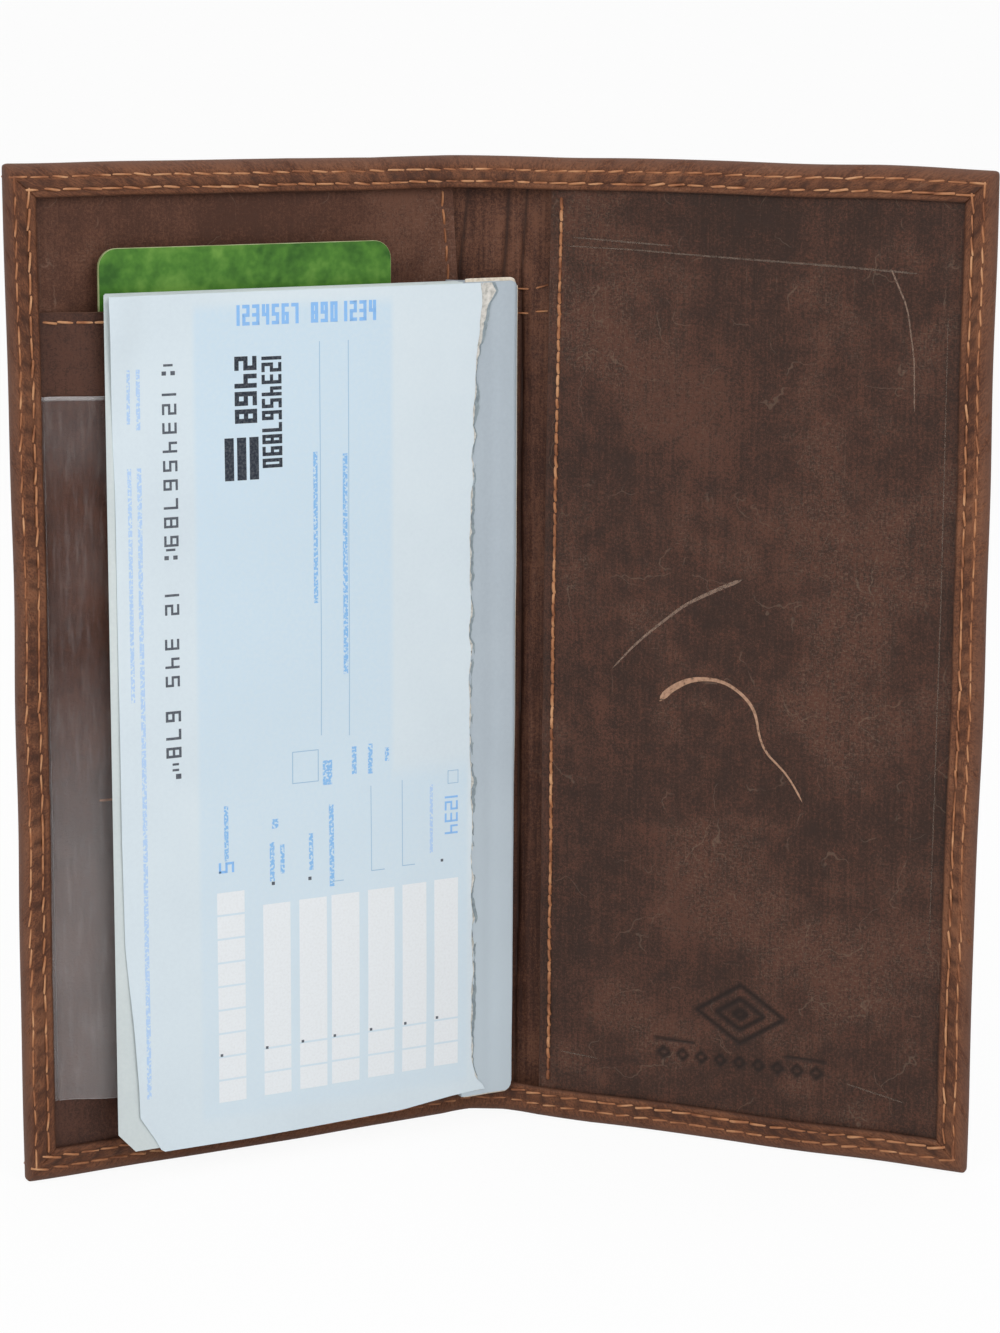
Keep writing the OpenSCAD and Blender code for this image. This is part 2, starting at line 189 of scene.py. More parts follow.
def stand(s, n, z, side):
    """Puts flat leather where it stands: s mm out from the fold, n mm in front of the hide's middle,
    z mm up. The hide bends round a wide roll at the fold, and is straight before and after it."""
    angle = math.radians(lean[side])
    bend = stiff_from / math.tan(angle / 2)
    turn = angle * np.clip((s + stiff_from) / (2 * stiff_from), 0, 1)
    beyond = np.maximum(s - stiff_from, 0)
    x = (stiff_from - half_spine) - (bend - n) * np.sin(turn) - beyond * math.cos(angle)
    x = x + np.maximum(-stiff_from - s, 0)
    y = fold_back - bend + (bend - n) * np.cos(turn) - beyond * math.sin(angle)
    if side == "right":
        x = -x
    return np.stack([x, y, lifted(z) + 0 * x], -1) / 1000


def on(side):
    """The way to place flat leather on one side."""
    return lambda s, n, z: stand(s, n, z, side)


def ripple(x, z, seed, wave, count=14):
    """Smooth uneven waves of about one height, of a given length in mm, the same on every run."""
    dice = np.random.default_rng(seed)
    total = 0 * (x + z)
    for _ in range(count):
        way, start = dice.uniform(0, 2 * math.pi, 2)
        size = 2 * math.pi / (wave * dice.uniform(0.6, 1.6))
        total = total + np.sin(size * (x * math.cos(way) + z * math.sin(way)) + start)
    return total / math.sqrt(count / 2)


def patch(s, n, z, u=None, v=None, wear=0.0, blush=0.0, press=0.0):
    """One field of a skin: a grid of flat places, with its place on the uncut hide, its finish, and the painted shade
    its press mark carries.
    """
    s, n, z = np.broadcast_arrays(*(np.asarray(a, float) for a in (s, n, z)))
    flat = [s if u is None else u, z if v is None else v, wear, blush, press]
    return [s, n, z] + [np.broadcast_to(np.asarray(a, float), s.shape) for a in flat]


def outward(mesh, sources, fill=False):
    """Joins the source meshes into one whose faces all point outwards."""
    shell = bmesh.new()
    for source in sources:
        shell.from_mesh(source)
    if fill:
        bmesh.ops.holes_fill(shell, edges=[e for e in shell.edges if e.is_boundary], sides=0)
    bmesh.ops.recalc_face_normals(shell, faces=shell.faces)
    shell.to_mesh(mesh)
    shell.free()


def sew(name, fields, place, material, fill=False):
    """Joins the fields edge to edge into one closed mesh and puts it in its place."""
    points, marks, quads, base = [], [], [], 0
    for field in fields:
        rows, columns = field[0].shape
        index = base + np.arange(rows * columns).reshape(rows, columns)
        around = [index[:-1, :-1], index[1:, :-1], index[1:, 1:], index[:-1, 1:]]
        quads.append(np.stack(around, -1).reshape(-1, 4))
        points.append(place(field[0], field[1], field[2]).reshape(-1, 3))
        marks.append(np.stack([a.ravel() for a in field[3:]], -1))
        base += rows * columns
    points, marks, quads = np.concatenate(points), np.concatenate(marks), np.concatenate(quads)
    # Points closer than 0.004 mm are one point.
    spots = np.round(points / 4e-6).astype(np.int64)
    _, first, same = np.unique(spots, axis=0, return_index=True, return_inverse=True)
    same = same.reshape(-1)
    faces, corners = [], []
    for quad in quads:
        ring = [k for i, k in enumerate(quad) if same[k] != same[quad[i - 1]]]
        if len(ring) > 2:
            faces.append([int(same[k]) for k in ring])
            corners.extend(ring)
    mesh = bpy.data.meshes.new(name)
    mesh.from_pydata(points[first].tolist(), [], faces)
    corners = np.array(corners)
    flat = mesh.uv_layers.new(name="flat")
    flat.data.foreach_set("uv", marks[corners, :2].astype(np.float32).ravel())
    finish_and_shade = mesh.attributes.new("finish_and_shade", "FLOAT_VECTOR", "CORNER")
    finish_and_shade.data.foreach_set("vector", marks[corners, 2:5].astype(np.float32).ravel())
    outward(mesh, [mesh], fill)
    mesh.polygons.foreach_set("use_smooth", [True] * len(mesh.polygons))
    mesh.set_sharp_from_angle(angle=math.radians(40))
    mesh.materials.append(material)
    return put(name, mesh)


def colours(tree, factor, *stops):
    """A colour ramp through (place, colour) stops."""
    made = add(tree, "ShaderNodeValToRGB", {"Fac": factor})
    ramp = made.color_ramp
    ramp.elements[0].position, ramp.elements[0].color = stops[0]
    ramp.elements[1].position, ramp.elements[1].color = stops[-1]
    for place, colour in stops[1:-1]:
        ramp.elements.new(place).color = colour
    return made.outputs["Color"]


def blend_tones(tree, factor, first, second):
    """Mixes two colours by a factor."""
    return add(tree, "ShaderNodeMix", {0: factor, 6: first, 7: second}, data_type="RGBA").outputs[2]


def chain(tree, how, values, clamp):
    """The same sum on several numbers in turn."""
    total = values[0]
    for order, value in enumerate(values[1:], 2):
        total = number(tree, how, total, value, clamp and order == len(values))
    return total


def times(tree, *values, clamp=False):
    """Numbers multiplied together."""
    return chain(tree, "MULTIPLY", values, clamp)


def plus(tree, *values, clamp=False):
    """Numbers added together."""
    return chain(tree, "ADD", values, clamp)


def within(tree, value, low, high):
    """0 below low, 1 above high, and smooth between."""
    made = add(tree, "ShaderNodeMapRange", {"Value": value, "From Min": low, "From Max": high},
               interpolation_type="SMOOTHSTEP")
    return made.outputs["Result"]


def flat_place(tree):
    """Where a point lies on the uncut sheet, in mm: its own UV map."""
    return add(tree, "ShaderNodeUVMap", uv_map="flat").outputs[0]


def split(tree, vector):
    """The three numbers of a vector."""
    return add(tree, "ShaderNodeSeparateXYZ", {0: vector}).outputs


def finish_and_shade_marks(tree):
    """How worn, how warm and how pressed a place is, from the piece's own attribute. The press mark also carries
    painted shade, and on the film the wear mark is a painted edge highlight.
    """
    return split(tree, add(tree, "ShaderNodeAttribute", attribute_name="finish_and_shade").outputs["Vector"])


def noise(tree, where, scale, detail, rough=0.5, stretch=None, space="2D"):
    """Cloudy noise, drawn out along an axis where a stretch is given."""
    if stretch:
        where = add(tree, "ShaderNodeMapping", {"Vector": where, "Scale": stretch}).outputs[0]
    return add(tree, "ShaderNodeTexNoise", {"Vector": where, "Scale": scale, "Detail": detail, "Roughness": rough},
               noise_dimensions=space).outputs[0]


def coat(tree, out, colour, rough, relief=None, specular=0.5, **more):
    """The finished surface: its colour, roughness and fine relief (height, strength, depth in m)."""
    ins = {"Base Color": colour, "Roughness": rough, "Specular IOR Level": specular, **more}
    if relief:
        bump = add(tree, "ShaderNodeBump", dict(zip(("Height", "Strength", "Distance"), relief)))
        ins["Normal"] = bump.outputs[0]
    tree.links.new(add(tree, "ShaderNodeBsdfPrincipled", ins).outputs[0], out.inputs[0])


def leather(name, deep, middle, warm, scuff, edge, rough=0.64, streaks=0.5, scuffs=0.35):
    """Oiled brown cowhide: fine mottled grain in soft clouds, faint upright fibres, pale hairlines
    where it was scratched, browner rolled edges, and darker places: pressed ones, and painted shade in creases and
    under edges."""
    made, tree, out = blank(name)
    flat = flat_place(tree)
    wear, blush, press = finish_and_shade_marks(tree)
    cloud, mottle = noise(tree, flat, 0.04, 3.0, 0.6), noise(tree, flat, 0.3, 5.0, 0.65)
    pore, speck = noise(tree, flat, 1.9, 3.0, 0.6), noise(tree, flat, 5.0, 2.0, 0.6)
    fibre = noise(tree, flat, 1.0, 4.0, 0.65, (1.7, 0.07, 1.0))
    cell = add(tree, "ShaderNodeTexVoronoi", {"Vector": flat, "Scale": 0.9, "Randomness": 1.0},
               voronoi_dimensions="2D", feature="SMOOTH_F1").outputs["Distance"]
    mixed = 0.5
    for part, share in ((cloud, 0.36), (mottle, 0.28), (pore, 0.38), (speck, 0.36), (fibre, 0.26 * streaks)):
        mixed = plus(tree, times(tree, number(tree, "SUBTRACT", part, 0.5), share), mixed)
    colour = colours(tree, mixed, (0.4, deep), (0.5, middle), (0.61, warm))
    swirl = add(tree, "ShaderNodeVectorMath", {0: add(tree, "ShaderNodeTexNoise", {
        "Vector": flat, "Scale": 0.06, "Detail": 4.0}, noise_dimensions="2D").outputs["Color"], 1: (26, 26, 0)},
        operation="MULTIPLY")
    bent = add(tree, "ShaderNodeVectorMath", {0: flat, 1: swirl.outputs[0]}, operation="ADD").outputs[0]
    vein = add(tree, "ShaderNodeTexVoronoi", {"Vector": bent, "Scale": 0.075}, voronoi_dimensions="2D",
               feature="DISTANCE_TO_EDGE").outputs["Distance"]
    hair = times(tree, within(tree, vein, 0.016, 0.004), within(tree, noise(tree, flat, 0.12, 2.0, 0.6), 0.5, 0.62))
    upright_hair = times(tree, within(tree, noise(tree, flat, 1.0, 2.0, 0.5, (2.4, 0.03, 1.0)), 0.7, 0.78),
                         within(tree, mottle, 0.46, 0.62))
    lint = number(tree, "MAXIMUM", noise(tree, flat, 1.0, 4.0, 0.7, (1.1, 3.6, 1.0)),
                  noise(tree, flat, 1.0, 4.0, 0.7, (3.4, 1.2, 1.0)))
    rubbed = times(tree, within(tree, lint, 0.54, 0.7), within(tree, cloud, 0.46, 0.6))
    marks = plus(tree, times(tree, hair, 0.6), times(tree, upright_hair, 0.4), times(tree, rubbed, 0.75), clamp=True)
    colour = blend_tones(tree, times(tree, marks, scuffs), colour, scuff)
    colour = blend_tones(tree, times(tree, blush, within(tree, mixed, 0.36, 0.6)), colour, warm)
    colour = blend_tones(tree, times(tree, wear, within(tree, mottle, 0.28, 0.5), 0.8), colour, edge)
    # Darkens pressed places, and the painted shade that some pieces lay into the same press mark.
    pressed = times(tree, press, plus(tree, 0.45, times(tree, pore, 0.6)))
    colour = blend_tones(tree, pressed, colour, blend_tones(tree, 0.6, deep, tone(20, 12, 9)))
    height = plus(tree, times(tree, pore, 0.6), times(tree, cell, 0.35), times(tree, fibre, 0.3 * streaks + 0.1),
                  times(tree, mottle, 0.5))
    gloss = plus(tree, times(tree, mottle, 0.25), rough - 0.14)
    gloss = number(tree, "SUBTRACT", gloss, times(tree, press, 0.1), clamp=True)
    coat(tree, out, colour, gloss, (height, 0.6, 0.00022), 0.2)
    return made


outer_leather = leather("outer_leather", tone(76, 45, 31), tone(104, 64, 43), tone(128, 82, 56),
                        tone(150, 112, 86), tone(100, 70, 57), scuffs=0.4)

# Distance in from the outline, height in front of the hide's middle, and wear, from the back to the front.
hem_profile = [
    (8.0, -0.55, 0), (6.3, -0.55, 0), (4.6, -0.57, 0), (4.1, -0.62, 0), (3.8, -0.69, 0.2), (3.5, -0.6, 0),
    (3.0, -0.54, 0), (2.4, -0.5, 0), (1.95, -0.54, 0), (1.6, -0.6, 0.2), (1.3, -0.46, 0.2), (0.9, -0.28, 0.3),
    (0.55, -0.02, 0.5), (0.3, 0.25, 0.7), (0.12, 0.6, 0.8), (0.03, 0.95, 0.9), (0.0, 1.3, 1), (0.0, 1.6, 1),
    (0.05, 1.95, 1), (0.15, 2.3, 0.9), (0.35, 2.65, 0.8), (0.65, 2.98, 0.6), (0.95, 3.18, 0.4), (1.3, 3.26, 0.2),
    (1.6, 3.16, 0.1), (1.95, 3.38, 0), (2.3, 3.58, 0), (2.75, 3.76, 0), (3.2, 3.86, 0), (3.55, 3.78, 0),
    (3.8, 3.68, 0), (4.05, 3.8, 0), (4.4, 3.91, 0), (4.75, 3.88, 0), (5.0, 3.76, 0.2), (5.16, 3.6, 0.4),
    (5.2, 3.35, 0.3), (5.1, 3.17, 0), (4.4, 3.15, 0), (3.2, 3.12, 0), (2.4, 2.9, 0), (1.7, 2.5, 0), (1.2, 2.0, 0),
    (1.0, 1.5, 0), (1.1, 1.0, 0), (1.5, 0.62, 0), (2.4, 0.55, 0), (4.0, 0.55, 0), (8.0, 0.55, 0)]
outermost = hem_profile.index((0.0, 1.3, 1))
corner_round = 0.8
# How high the two rows lie in the hem's face, and the groove they make in the back.
row_heights, back_groove, border_pitch = (3.16, 3.68), -0.64, 3.5
# Where the outline, the two rows and the lip of the hem lie on each edge, in mm from the outline.
hem_marks = (0, 1.6, 3.8, 5.2, 8)
hem_places = {"left": (0, 1.3, 3.45, 4.95, 8), "right": (0, 2.0, 3.75, 5.2, 8), "foot": (0, 2.4, 4.1, 5.3, 8),
              "top": (0, 2.2, 4.25, 5.5, 8)}
# How far the cut edge stands over or inside the true line, at places across from the middle.
crown_at = ((-91, 0.7), (-40, 0.72), (-24, 0.35), (-9, 0.6), (8, 0.62), (30, 0.45), (70, 0.35), (91, -0.1))
dip_at = ((-22, 0), (-10, 0.2), (-4, 0.85), (2, 0.85), (9, 0.25), (20, 0))


def ease(t):
    """A smooth step from 0 to 1."""
    t = np.clip(t, 0, 1)
    return t * t * (3 - 2 * t)


def outline(s, z, side):
    """Rounds the corners and lets the cut outline wander a little, as hand-turned leather does."""
    s, z = s + 0.0, z + 0.0
    for low in (True, False):
        a = (s - (panel_width - corner_round)) / corner_round
        b = ((corner_round - z) if low else (z - (cover_height - corner_round))) / corner_round
        at = (a > 0) & (b > 0)
        a, b = np.clip(a, 0, 1.2), np.clip(b, 0, 1.2)
        round_a = a * np.sqrt(1 - b * b / 2)
        round_b = b * np.sqrt(1 - a * a / 2)
        s = np.where(at, panel_width - corner_round + round_a * corner_round, s)
        z = np.where(at, corner_round - round_b * corner_round if low
                     else cover_height - corner_round + round_b * corner_round, z)
    across = across_spine(s, side)
    near_side = np.clip(s / panel_width, 0, 1) ** 3
    near_end = np.abs(2 * z / cover_height - 1) ** 3
    s = s + 0.1 * ripple(across * 0, z, 5 if side == "left" else 6, 52) * near_side
    drawn = np.exp(-((z - 105) / 45) ** 2) * 0.4 if side == "left" else 0.55 * ease((75 - z) / 60)
    s = s - drawn * near_side
    z = z + 0.07 * ripple(across, z * 0, 7, 40) * near_end
    z = z + np.interp(across, *zip(*crown_at)) * np.clip((z - 90) / 84, 0, 1) ** 3
    z = z + np.interp(across, *zip(*dip_at)) * np.clip((84 - z) / 84, 0, 1) ** 3
    return s, np.maximum(z, 0.0)


def across_spine(s, side):
    """Place across the spine, from its middle, to the right."""
    return (s + half_spine) * (1 if side == "right" else -1)


def hem_depth(depth, edge):
    """How far in a line of the hem lies on one edge."""
    return np.interp(depth, hem_marks, hem_places[edge]) + min(0, depth)


def border(depth, share_s, share_z, side):
    """Flat places round three sides of a panel at one depth: along the foot, up the side, back along
    the top. The two corners are exact, so that the hem is mitred there."""
    s0, s1 = -half_spine, panel_width - hem_depth(depth, side)
    z0, z1 = hem_depth(depth, "foot"), cover_height - hem_depth(depth, "top")
    foot = s0 + share_s * (s1 - s0)
    rise = z0 + share_z[1:] * (z1 - z0)
    s = np.concatenate([foot, np.full(len(rise), s1), foot[::-1][1:]])
    z = np.concatenate([np.full(len(foot), z0), rise, np.full(len(foot) - 1, z1)])
    return s, z


def even(total, step, ends):
    """Shares from 0 to 1 in even steps, with finer steps at the chosen ends."""
    marks = np.arange(0, total, step)
    fine = np.array([0.25, 0.5, 0.9, 1.4, 2.0])
    marks = marks[(marks > (2.5 if ends[0] else -1)) & (marks < total - (2.5 if ends[1] else 0.4))]
    extra = np.concatenate([[0, total], fine if ends[0] else [], total - fine if ends[1] else []])
    return np.unique(np.concatenate([marks, extra])) / total


def outer_hide(side):
    """Half of the hide: the panel, the fold, and the spine up to its middle."""
    share_s = even(panel_width + half_spine, 1.05, (False, True))
    share_z = even(cover_height, 1.05, (True, True))
    depths, heights, wears = (np.array(column, float) for column in zip(*hem_profile))
    steps = np.hypot(np.diff(depths), np.diff(heights))
    girth = np.concatenate([[0], np.cumsum(steps)])
    girth -= girth[outermost]
    rings = []
    for depth, height, wear, out_by in zip(depths, heights, wears, girth):
        s, z = border(depth, share_s, share_z, side)
        u, v = border(-out_by, share_s, share_z, side)
        rings.append((s, np.full_like(s, height), z, u, v, np.full_like(s, wear)))
    s, n, z, u, v, wear = (np.stack(column) for column in zip(*rings))
    # The hem's own face, from its rolled edge to its lip.
    facing = ((girth > 3.4) & (girth < 11.0))[:, None] & (s > -half_spine - 1)
    mitre = np.zeros(s.shape[1], bool)
    mitre[[len(share_s) - 1, len(share_s) + len(share_z) - 2]] = True
    n = np.where(mitre[None, :] & facing, n - 0.22, n)
    along = np.concatenate([[0], np.cumsum(np.hypot(np.diff(s[0]), np.diff(z[0])))])[None, :]
    near_row = sum(np.exp(-((depths[:, None] - row) / 0.5) ** 2) for row in hem_marks[1:3])
    across = across_spine(s, side)
    u = across_spine(u, side)
    pull = (0.5 + 0.5 * np.cos(2 * math.pi * along / border_pitch)) ** 3
    between_rows = np.exp(-((depths[:, None] - 2.7) / 1.1) ** 2)
    n = n - np.where(facing, (0.14 * near_row + 0.24 * between_rows) * pull, 0)
    ends = 1 - ease((s - (panel_width - 14)) / 10)
    ends[:, len(share_s) - 1:len(share_s) + len(share_z) - 1] = 0
    n = n + np.where(facing, ends * 0.5 * np.exp(-((depths[:, None] - 0.8) / 0.9) ** 2), 0)
    n = n + np.where(facing, 0.07 * ripple(across, z, 21, 9) + 0.03 * ripple(across, z, 22, 3.5), 0)
    # Darker where the stitches pull the hem down and between its rows, and (shadow) a painted shadow along the hem's
    # raised lip, both laid into the press mark.
    press = np.where(facing, near_row * 0.4 + between_rows * (0.12 + 0.88 * pull), near_row * 0.3 * (n < -0.5))
    shadow = np.exp(-((depths[:, None] - 5.2) / 0.3) ** 2) * (n > 3)
    edge_s, edge_z = outline(s, z, side)
    fields = [patch(edge_s, n, edge_z, u, v, wear, 0.0, np.clip(press + 0.8 * shadow, 0, 1))]
    inner_s = -half_spine + share_s * (s[0, len(share_s) - 1] + half_spine)
    inner_z = z[0, 0] + share_z * (z[0, -1] - z[0, 0])
    grid_s, grid_z = np.meshgrid(inner_s, inner_z, indexing="ij")
    face_s, face_z = outline(grid_s, grid_z, side)
    for height in (heights[0], heights[-1]):
        fields.append(patch(face_s, height, face_z, across_spine(grid_s, side), grid_z))
    made = sew(f"outer_hide_{side}", fields, on(side), outer_leather, fill=True)
    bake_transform(made)
    return made


for side in ("left", "right"):
    hide = outer_hide(side)
    if side == "left":
        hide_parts("cover_left", "fold_left", "cover_spine")
    else:
        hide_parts("cover_right", "fold_right")


# ---------------------------------------------------------------- Linings of the spine and the panels
# Thin brown sheepskin across the spine, in a lower and an upper piece that are lapped and sewn near
# the top. It bunches into upright creases at both folds. Its sides run in under the inner panels,
# where a woven shielding cloth goes on to the edges.
# A cut edge from the front to the back: its height in the sheet, and how far it swells out.
rim_round = ((1, 0), (0.75, 0.7), (0.3, 1), (-0.3, 1), (-0.75, 0.7), (-1, 0))


def slab(s, z, front, back, rim=0.12, edges=None, **finish_and_shade):
    """A thin sheet on a grid of flat places, with soft cut edges: front, back and four narrow rims."""
    grid_s, grid_z = np.meshgrid(s, z, indexing="ij")
    if edges:
        grid_s, grid_z = edges(grid_s, grid_z)

    def over(value):
        return value(grid_s, grid_z) if callable(value) else value + 0 * grid_s

    n_front, n_back = over(front), over(back)
    marks = {key: over(value) for key, value in finish_and_shade.items()}
    fields = [patch(grid_s, n_front, grid_z, **marks), patch(grid_s, n_back, grid_z, **marks)]
    for cut in (np.s_[0, :], np.s_[-1, :], np.s_[:, 0], np.s_[:, -1]):
        rows_s, rows_z = grid_s[cut], grid_z[cut]
        middle = (n_front[cut] + n_back[cut]) / 2
        half = (n_front[cut] - n_back[cut]) / 2
        out_s, out_z = (0, 1) if isinstance(cut[0], slice) else (1, 0)
        if 0 in cut:
            out_s, out_z = -out_s, -out_z
        ends = np.ones_like(rows_s)
        ends[[0, -1]] = 0
        ring_s, ring_n, ring_z = [], [], []
        for level, out_by in rim_round:
            ring_s.append(rows_s + out_s * rim * out_by * ends)
            ring_z.append(rows_z + out_z * rim * out_by * ends)
            ring_n.append(middle + half * level)
        rim_marks = {key: np.stack([value[cut]] * len(rim_round)) for key, value in marks.items()}
        # The rims get the edge mark: browner worn cut edges on leather, a painted highlight on the film.
        rim_marks["wear"] = 0.8
        fields.append(patch(np.stack(ring_s), np.stack(ring_n), np.stack(ring_z), **rim_marks))
    return fields


lining_leather = leather("lining_leather", tone(60, 36, 27), tone(83, 52, 39), tone(104, 68, 51), tone(126, 96, 80),
                         tone(84, 60, 48), rough=0.66, streaks=1.3, scuffs=0.3)
lap_low, lap_high = 145.0, 153.0
# Each upright fold of the lining: its place across the spine at some heights, its height and half width.
creases = [([(0, -7.5), (153.6, -6.6), (168.5, -4.7), (174, -4.0)], -0.45, 0.4),
           ([(0, -1.0), (174, -1.0)], 0.45, 2.0),
           ([(0, 0.4), (120, 0.5), (154.5, 1.5), (168.5, 2.7), (174, 3.1)], -0.5, 0.42),
           ([(0, 3.2), (174, 4.1)], 0.3, 0.9),
           ([(0, 4.4), (40, 5.0), (100, 5.2), (154.5, 4.9), (168.5, 5.7), (174, 5.9)], -0.4, 0.36),
           ([(0, 7.0), (174, 7.4)], 0.35, 1.0)]


def crease_line(order, z):
    """Where one fold of the lining lies across the spine, with a little wander."""
    return np.interp(z, *zip(*creases[order][0])) + 0.12 * ripple(z * 0, z, 40 + order, 30)


def lining_relief(side):
    """Height of the lining's folds over its flat face."""
    def relief(s, z):
        across = across_spine(s, side)
        lift = 0.06 * ripple(across, z * 0.2, 31, 5)
        for order, (_, tall, half) in enumerate(creases):
            lift = lift + tall * np.exp(-((across - crease_line(order, z)) / half) ** 2)
        ends = np.clip((cover_height / 2 - 6 - np.abs(z - cover_height / 2)) / 9, 0.12, 1)
        return np.clip(lift, -0.4, 0.9) * ends
    return relief


def crease_painted_shade(side):
    """Painted shade: darker along the bottoms of the folds, and a wide painted shadow of the pad on the spine beside
    it.
    """
    def painted_shade(s, z):
        across = across_spine(s, side)
        total = 0 * s
        for order, (_, tall, half) in enumerate(creases):
            total = total + (tall < 0) * np.exp(-((across - crease_line(order, z)) / (half * 0.9)) ** 2)
        painted_pad_shadow = 0.4 * np.exp(-((across - 4.5) / 3.0) ** 2) * ease((150 - z) / 6) * ease((z - 25) / 20)
        return np.clip(total + painted_pad_shadow, 0, 1)
    return painted_shade


# The panels hide the lining's outer edges and the shielding's inner ones.
hide_front, lining_front = 0.56, 1.05
for side, tuck in (("left", 7.0), ("right", 8.0)):
    relief = lining_relief(side)
    s = np.arange(-half_spine, tuck + 0.01, 0.25)
    s[-1] = tuck
    for piece, z0, z1 in (("lower", 2.2, lap_high), ("upper", lap_low, cover_height - 2.2)):
        z = np.arange(z0, z1 + 0.01, 1.2)
        z[-1] = z1
        if piece == "lower":
            top, low = lambda a, b: np.where(b > lap_low, 0.8, lining_front) + relief(a, b), hide_front
        else:
            top = lambda a, b: lining_front + relief(a, b)
            low = lambda a, b: np.where(b < lap_high, 0.85 + relief(a, b), hide_front)
        fields = slab(s, z, top, low, rim=0.1, press=crease_painted_shade(side), u=lambda a, b: across_spine(a, side))
        lining = sew(f"spine_lining_{piece}_{side}", fields, on(side), lining_leather)
        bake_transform(lining)
        if side == "left":
            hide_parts(f"spine_lining_{piece}")

shield_cloth, tree, out = blank("shielding_cloth")
flat = flat_place(tree)
weave = times(tree, *(add(tree, "ShaderNodeTexWave", {"Vector": flat, "Scale": 0.55, "Distortion": 0.4},
                          wave_type="BANDS", bands_direction=way).outputs[1] for way in "XY"))
colour = colours(tree, weave, (0.0, tone(70, 70, 72)), (0.6, tone(150, 150, 152)), (1.0, tone(190, 190, 190)))
coat(tree, out, colour, 0.45, (weave, 0.4, 0.0001), Metallic=0.6)
for side, start in (("left", 7.1), ("right", 8.1)):
    s, z = np.linspace(start, 81.6, 39), np.linspace(2.3, cover_height - 2.3, 88)
    shield = sew(f"shielding_{side}", slab(s, z, 0.8, hide_front, rim=0.05), on(side), shield_cloth)
    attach(shield, f"{side}_cover")
    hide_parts(f"shield_{side}")


# ---------------------------------------------------------------- Inner panels
# Three pieces of thinner brown hide. The left one is sewn under the hem and open towards the spine.
# The card pocket lies on it and was wet-formed over a card, so it stands up 3 mm in the middle. The
# right one makes a deep pocket, is open towards the spine too, and has two long scratches.
left_leather = leather("left_panel_leather", tone(72, 45, 34), tone(86, 55, 42), tone(101, 67, 52),
                       tone(146, 120, 104), tone(92, 64, 50), streaks=0.6, scuffs=0.4)
pocket_leather = leather("card_pocket_leather", tone(59, 38, 31), tone(71, 46, 37), tone(83, 54, 43),
                         tone(130, 108, 94), tone(92, 64, 50), streaks=0.6, scuffs=0.12)
right_leather = leather("right_panel_leather", tone(51, 35, 28), tone(66, 44, 35), tone(86, 55, 43),
                        tone(130, 110, 94), tone(96, 66, 50), streaks=0.8, scuffs=0.42)
panel_back, panel_front, pocket_back, pocket_front = 1.52, 2.18, 2.22, 2.9
card_left, card_right, slope_in, slope_out, bulge = 14.8, 69.0, 8.0, 8.0, 2.93
card_seam, card_foot, card_mouth = 66.0, 74.9, 150.0


def left_mouth(z):
    """The left panel's open edge: how far from the fold, at each height."""
    return np.interp(z, [0, 130, 152, 169, 174], [1.4, 0.8, 0.1, 1.3, 1.6]) + 0.05 * ripple(0 * z, z, 71, 38)


def pocket_rise(s, z):
    """How far the card pocket stands up over the card."""
    over = ease((s - card_left + slope_in) / slope_in) * ease((card_right + slope_out - s) / slope_out)
    return bulge * over * ease((z - card_seam - 0.6) / 8.3)


def graded(*marks):
    """Steps along one side of a sheet: (from, to, step) after (from, to, step)."""
    parts = [np.linspace(a, b, max(2, int(round((b - a) / step)) + 1)) for a, b, step in marks]
    return np.unique(np.round(np.concatenate(parts), 4))


def to_mouth(mouth, start):
    """Moves a panel's first column to its wandering open edge."""
    def edges(s, z):
        share = np.clip((12 - s) / (12 - start), 0, 1)
        return s + share * (mouth(z) - start), z
    return edges


across_left = graded((1.4, 12, 0.7), (12, 70, 1.6), (70, 81.2, 0.8))
fields = slab(across_left, graded((2.8, 171.2, 1.5)),
              lambda s, z: panel_front + 0.12 * ease((9 - s) / 8) + 0.05 * ripple(s, z, 81, 14)
              * ease((77 - s) / 4) * ease((167 - z) / 3), panel_back, edges=to_mouth(left_mouth, 1.4),
              blush=lambda s, z: np.clip(0.1 + 0.3 * ripple(s, z, 82, 30), 0, 1))
panel = sew("left_panel", fields, on("left"), left_leather)
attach(panel, "left_cover")
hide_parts("left_inner_panel")

fields = slab(across_left, graded((2.8, 60, 1.8), (60, 78, 0.9), (78, 150, 1.5)),
              lambda s, z: pocket_front + pocket_rise(s, z) + 0.04 * ripple(s, z, 83, 12) * ease((77 - s) / 4),
              lambda s, z: pocket_back + pocket_rise(s, z) * 0.985,
              edges=to_mouth(lambda z: left_mouth(z) + 0.15, 1.4),
              blush=lambda s, z: np.clip(0.1 + 0.3 * ripple(s, z, 84, 30), 0, 1))
pocket = sew("card_pocket", fields, on("left"), pocket_leather)
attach(pocket, "left_cover")
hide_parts("card_pocket_panel")


def right_mouth(z):
    """The right pocket's open edge."""
    places = np.interp(z, [0, 14, 70, 103, 135, 167, 174], [3.1, 3.1, 3.2, 3.5, 3.85, 4.4, 4.5])
    return places + 0.04 * ripple(0 * z, z, 72, 30)


def stroke(s, z, points, width):
    """How much a place lies on a pressed line through these points."""
    nearest = np.full(np.shape(s), 1e9)
    for (a, b), (c, d) in zip(points, points[1:]):
        t = np.clip(((s - a) * (c - a) + (z - b) * (d - b)) / ((c - a) ** 2 + (d - b) ** 2), 0, 1)
        nearest = np.minimum(nearest, np.hypot(s - a - t * (c - a), z - b - t * (d - b)))
    return ease((width / 2 + 0.25 - nearest) / 0.5)


def lozenge(s, z, half_s, half_z):
    """The four corners of a lozenge, and its first again."""
    return [(s - half_s, z), (s, z + half_z), (s + half_s, z), (s, z - half_z), (s - half_s, z)]


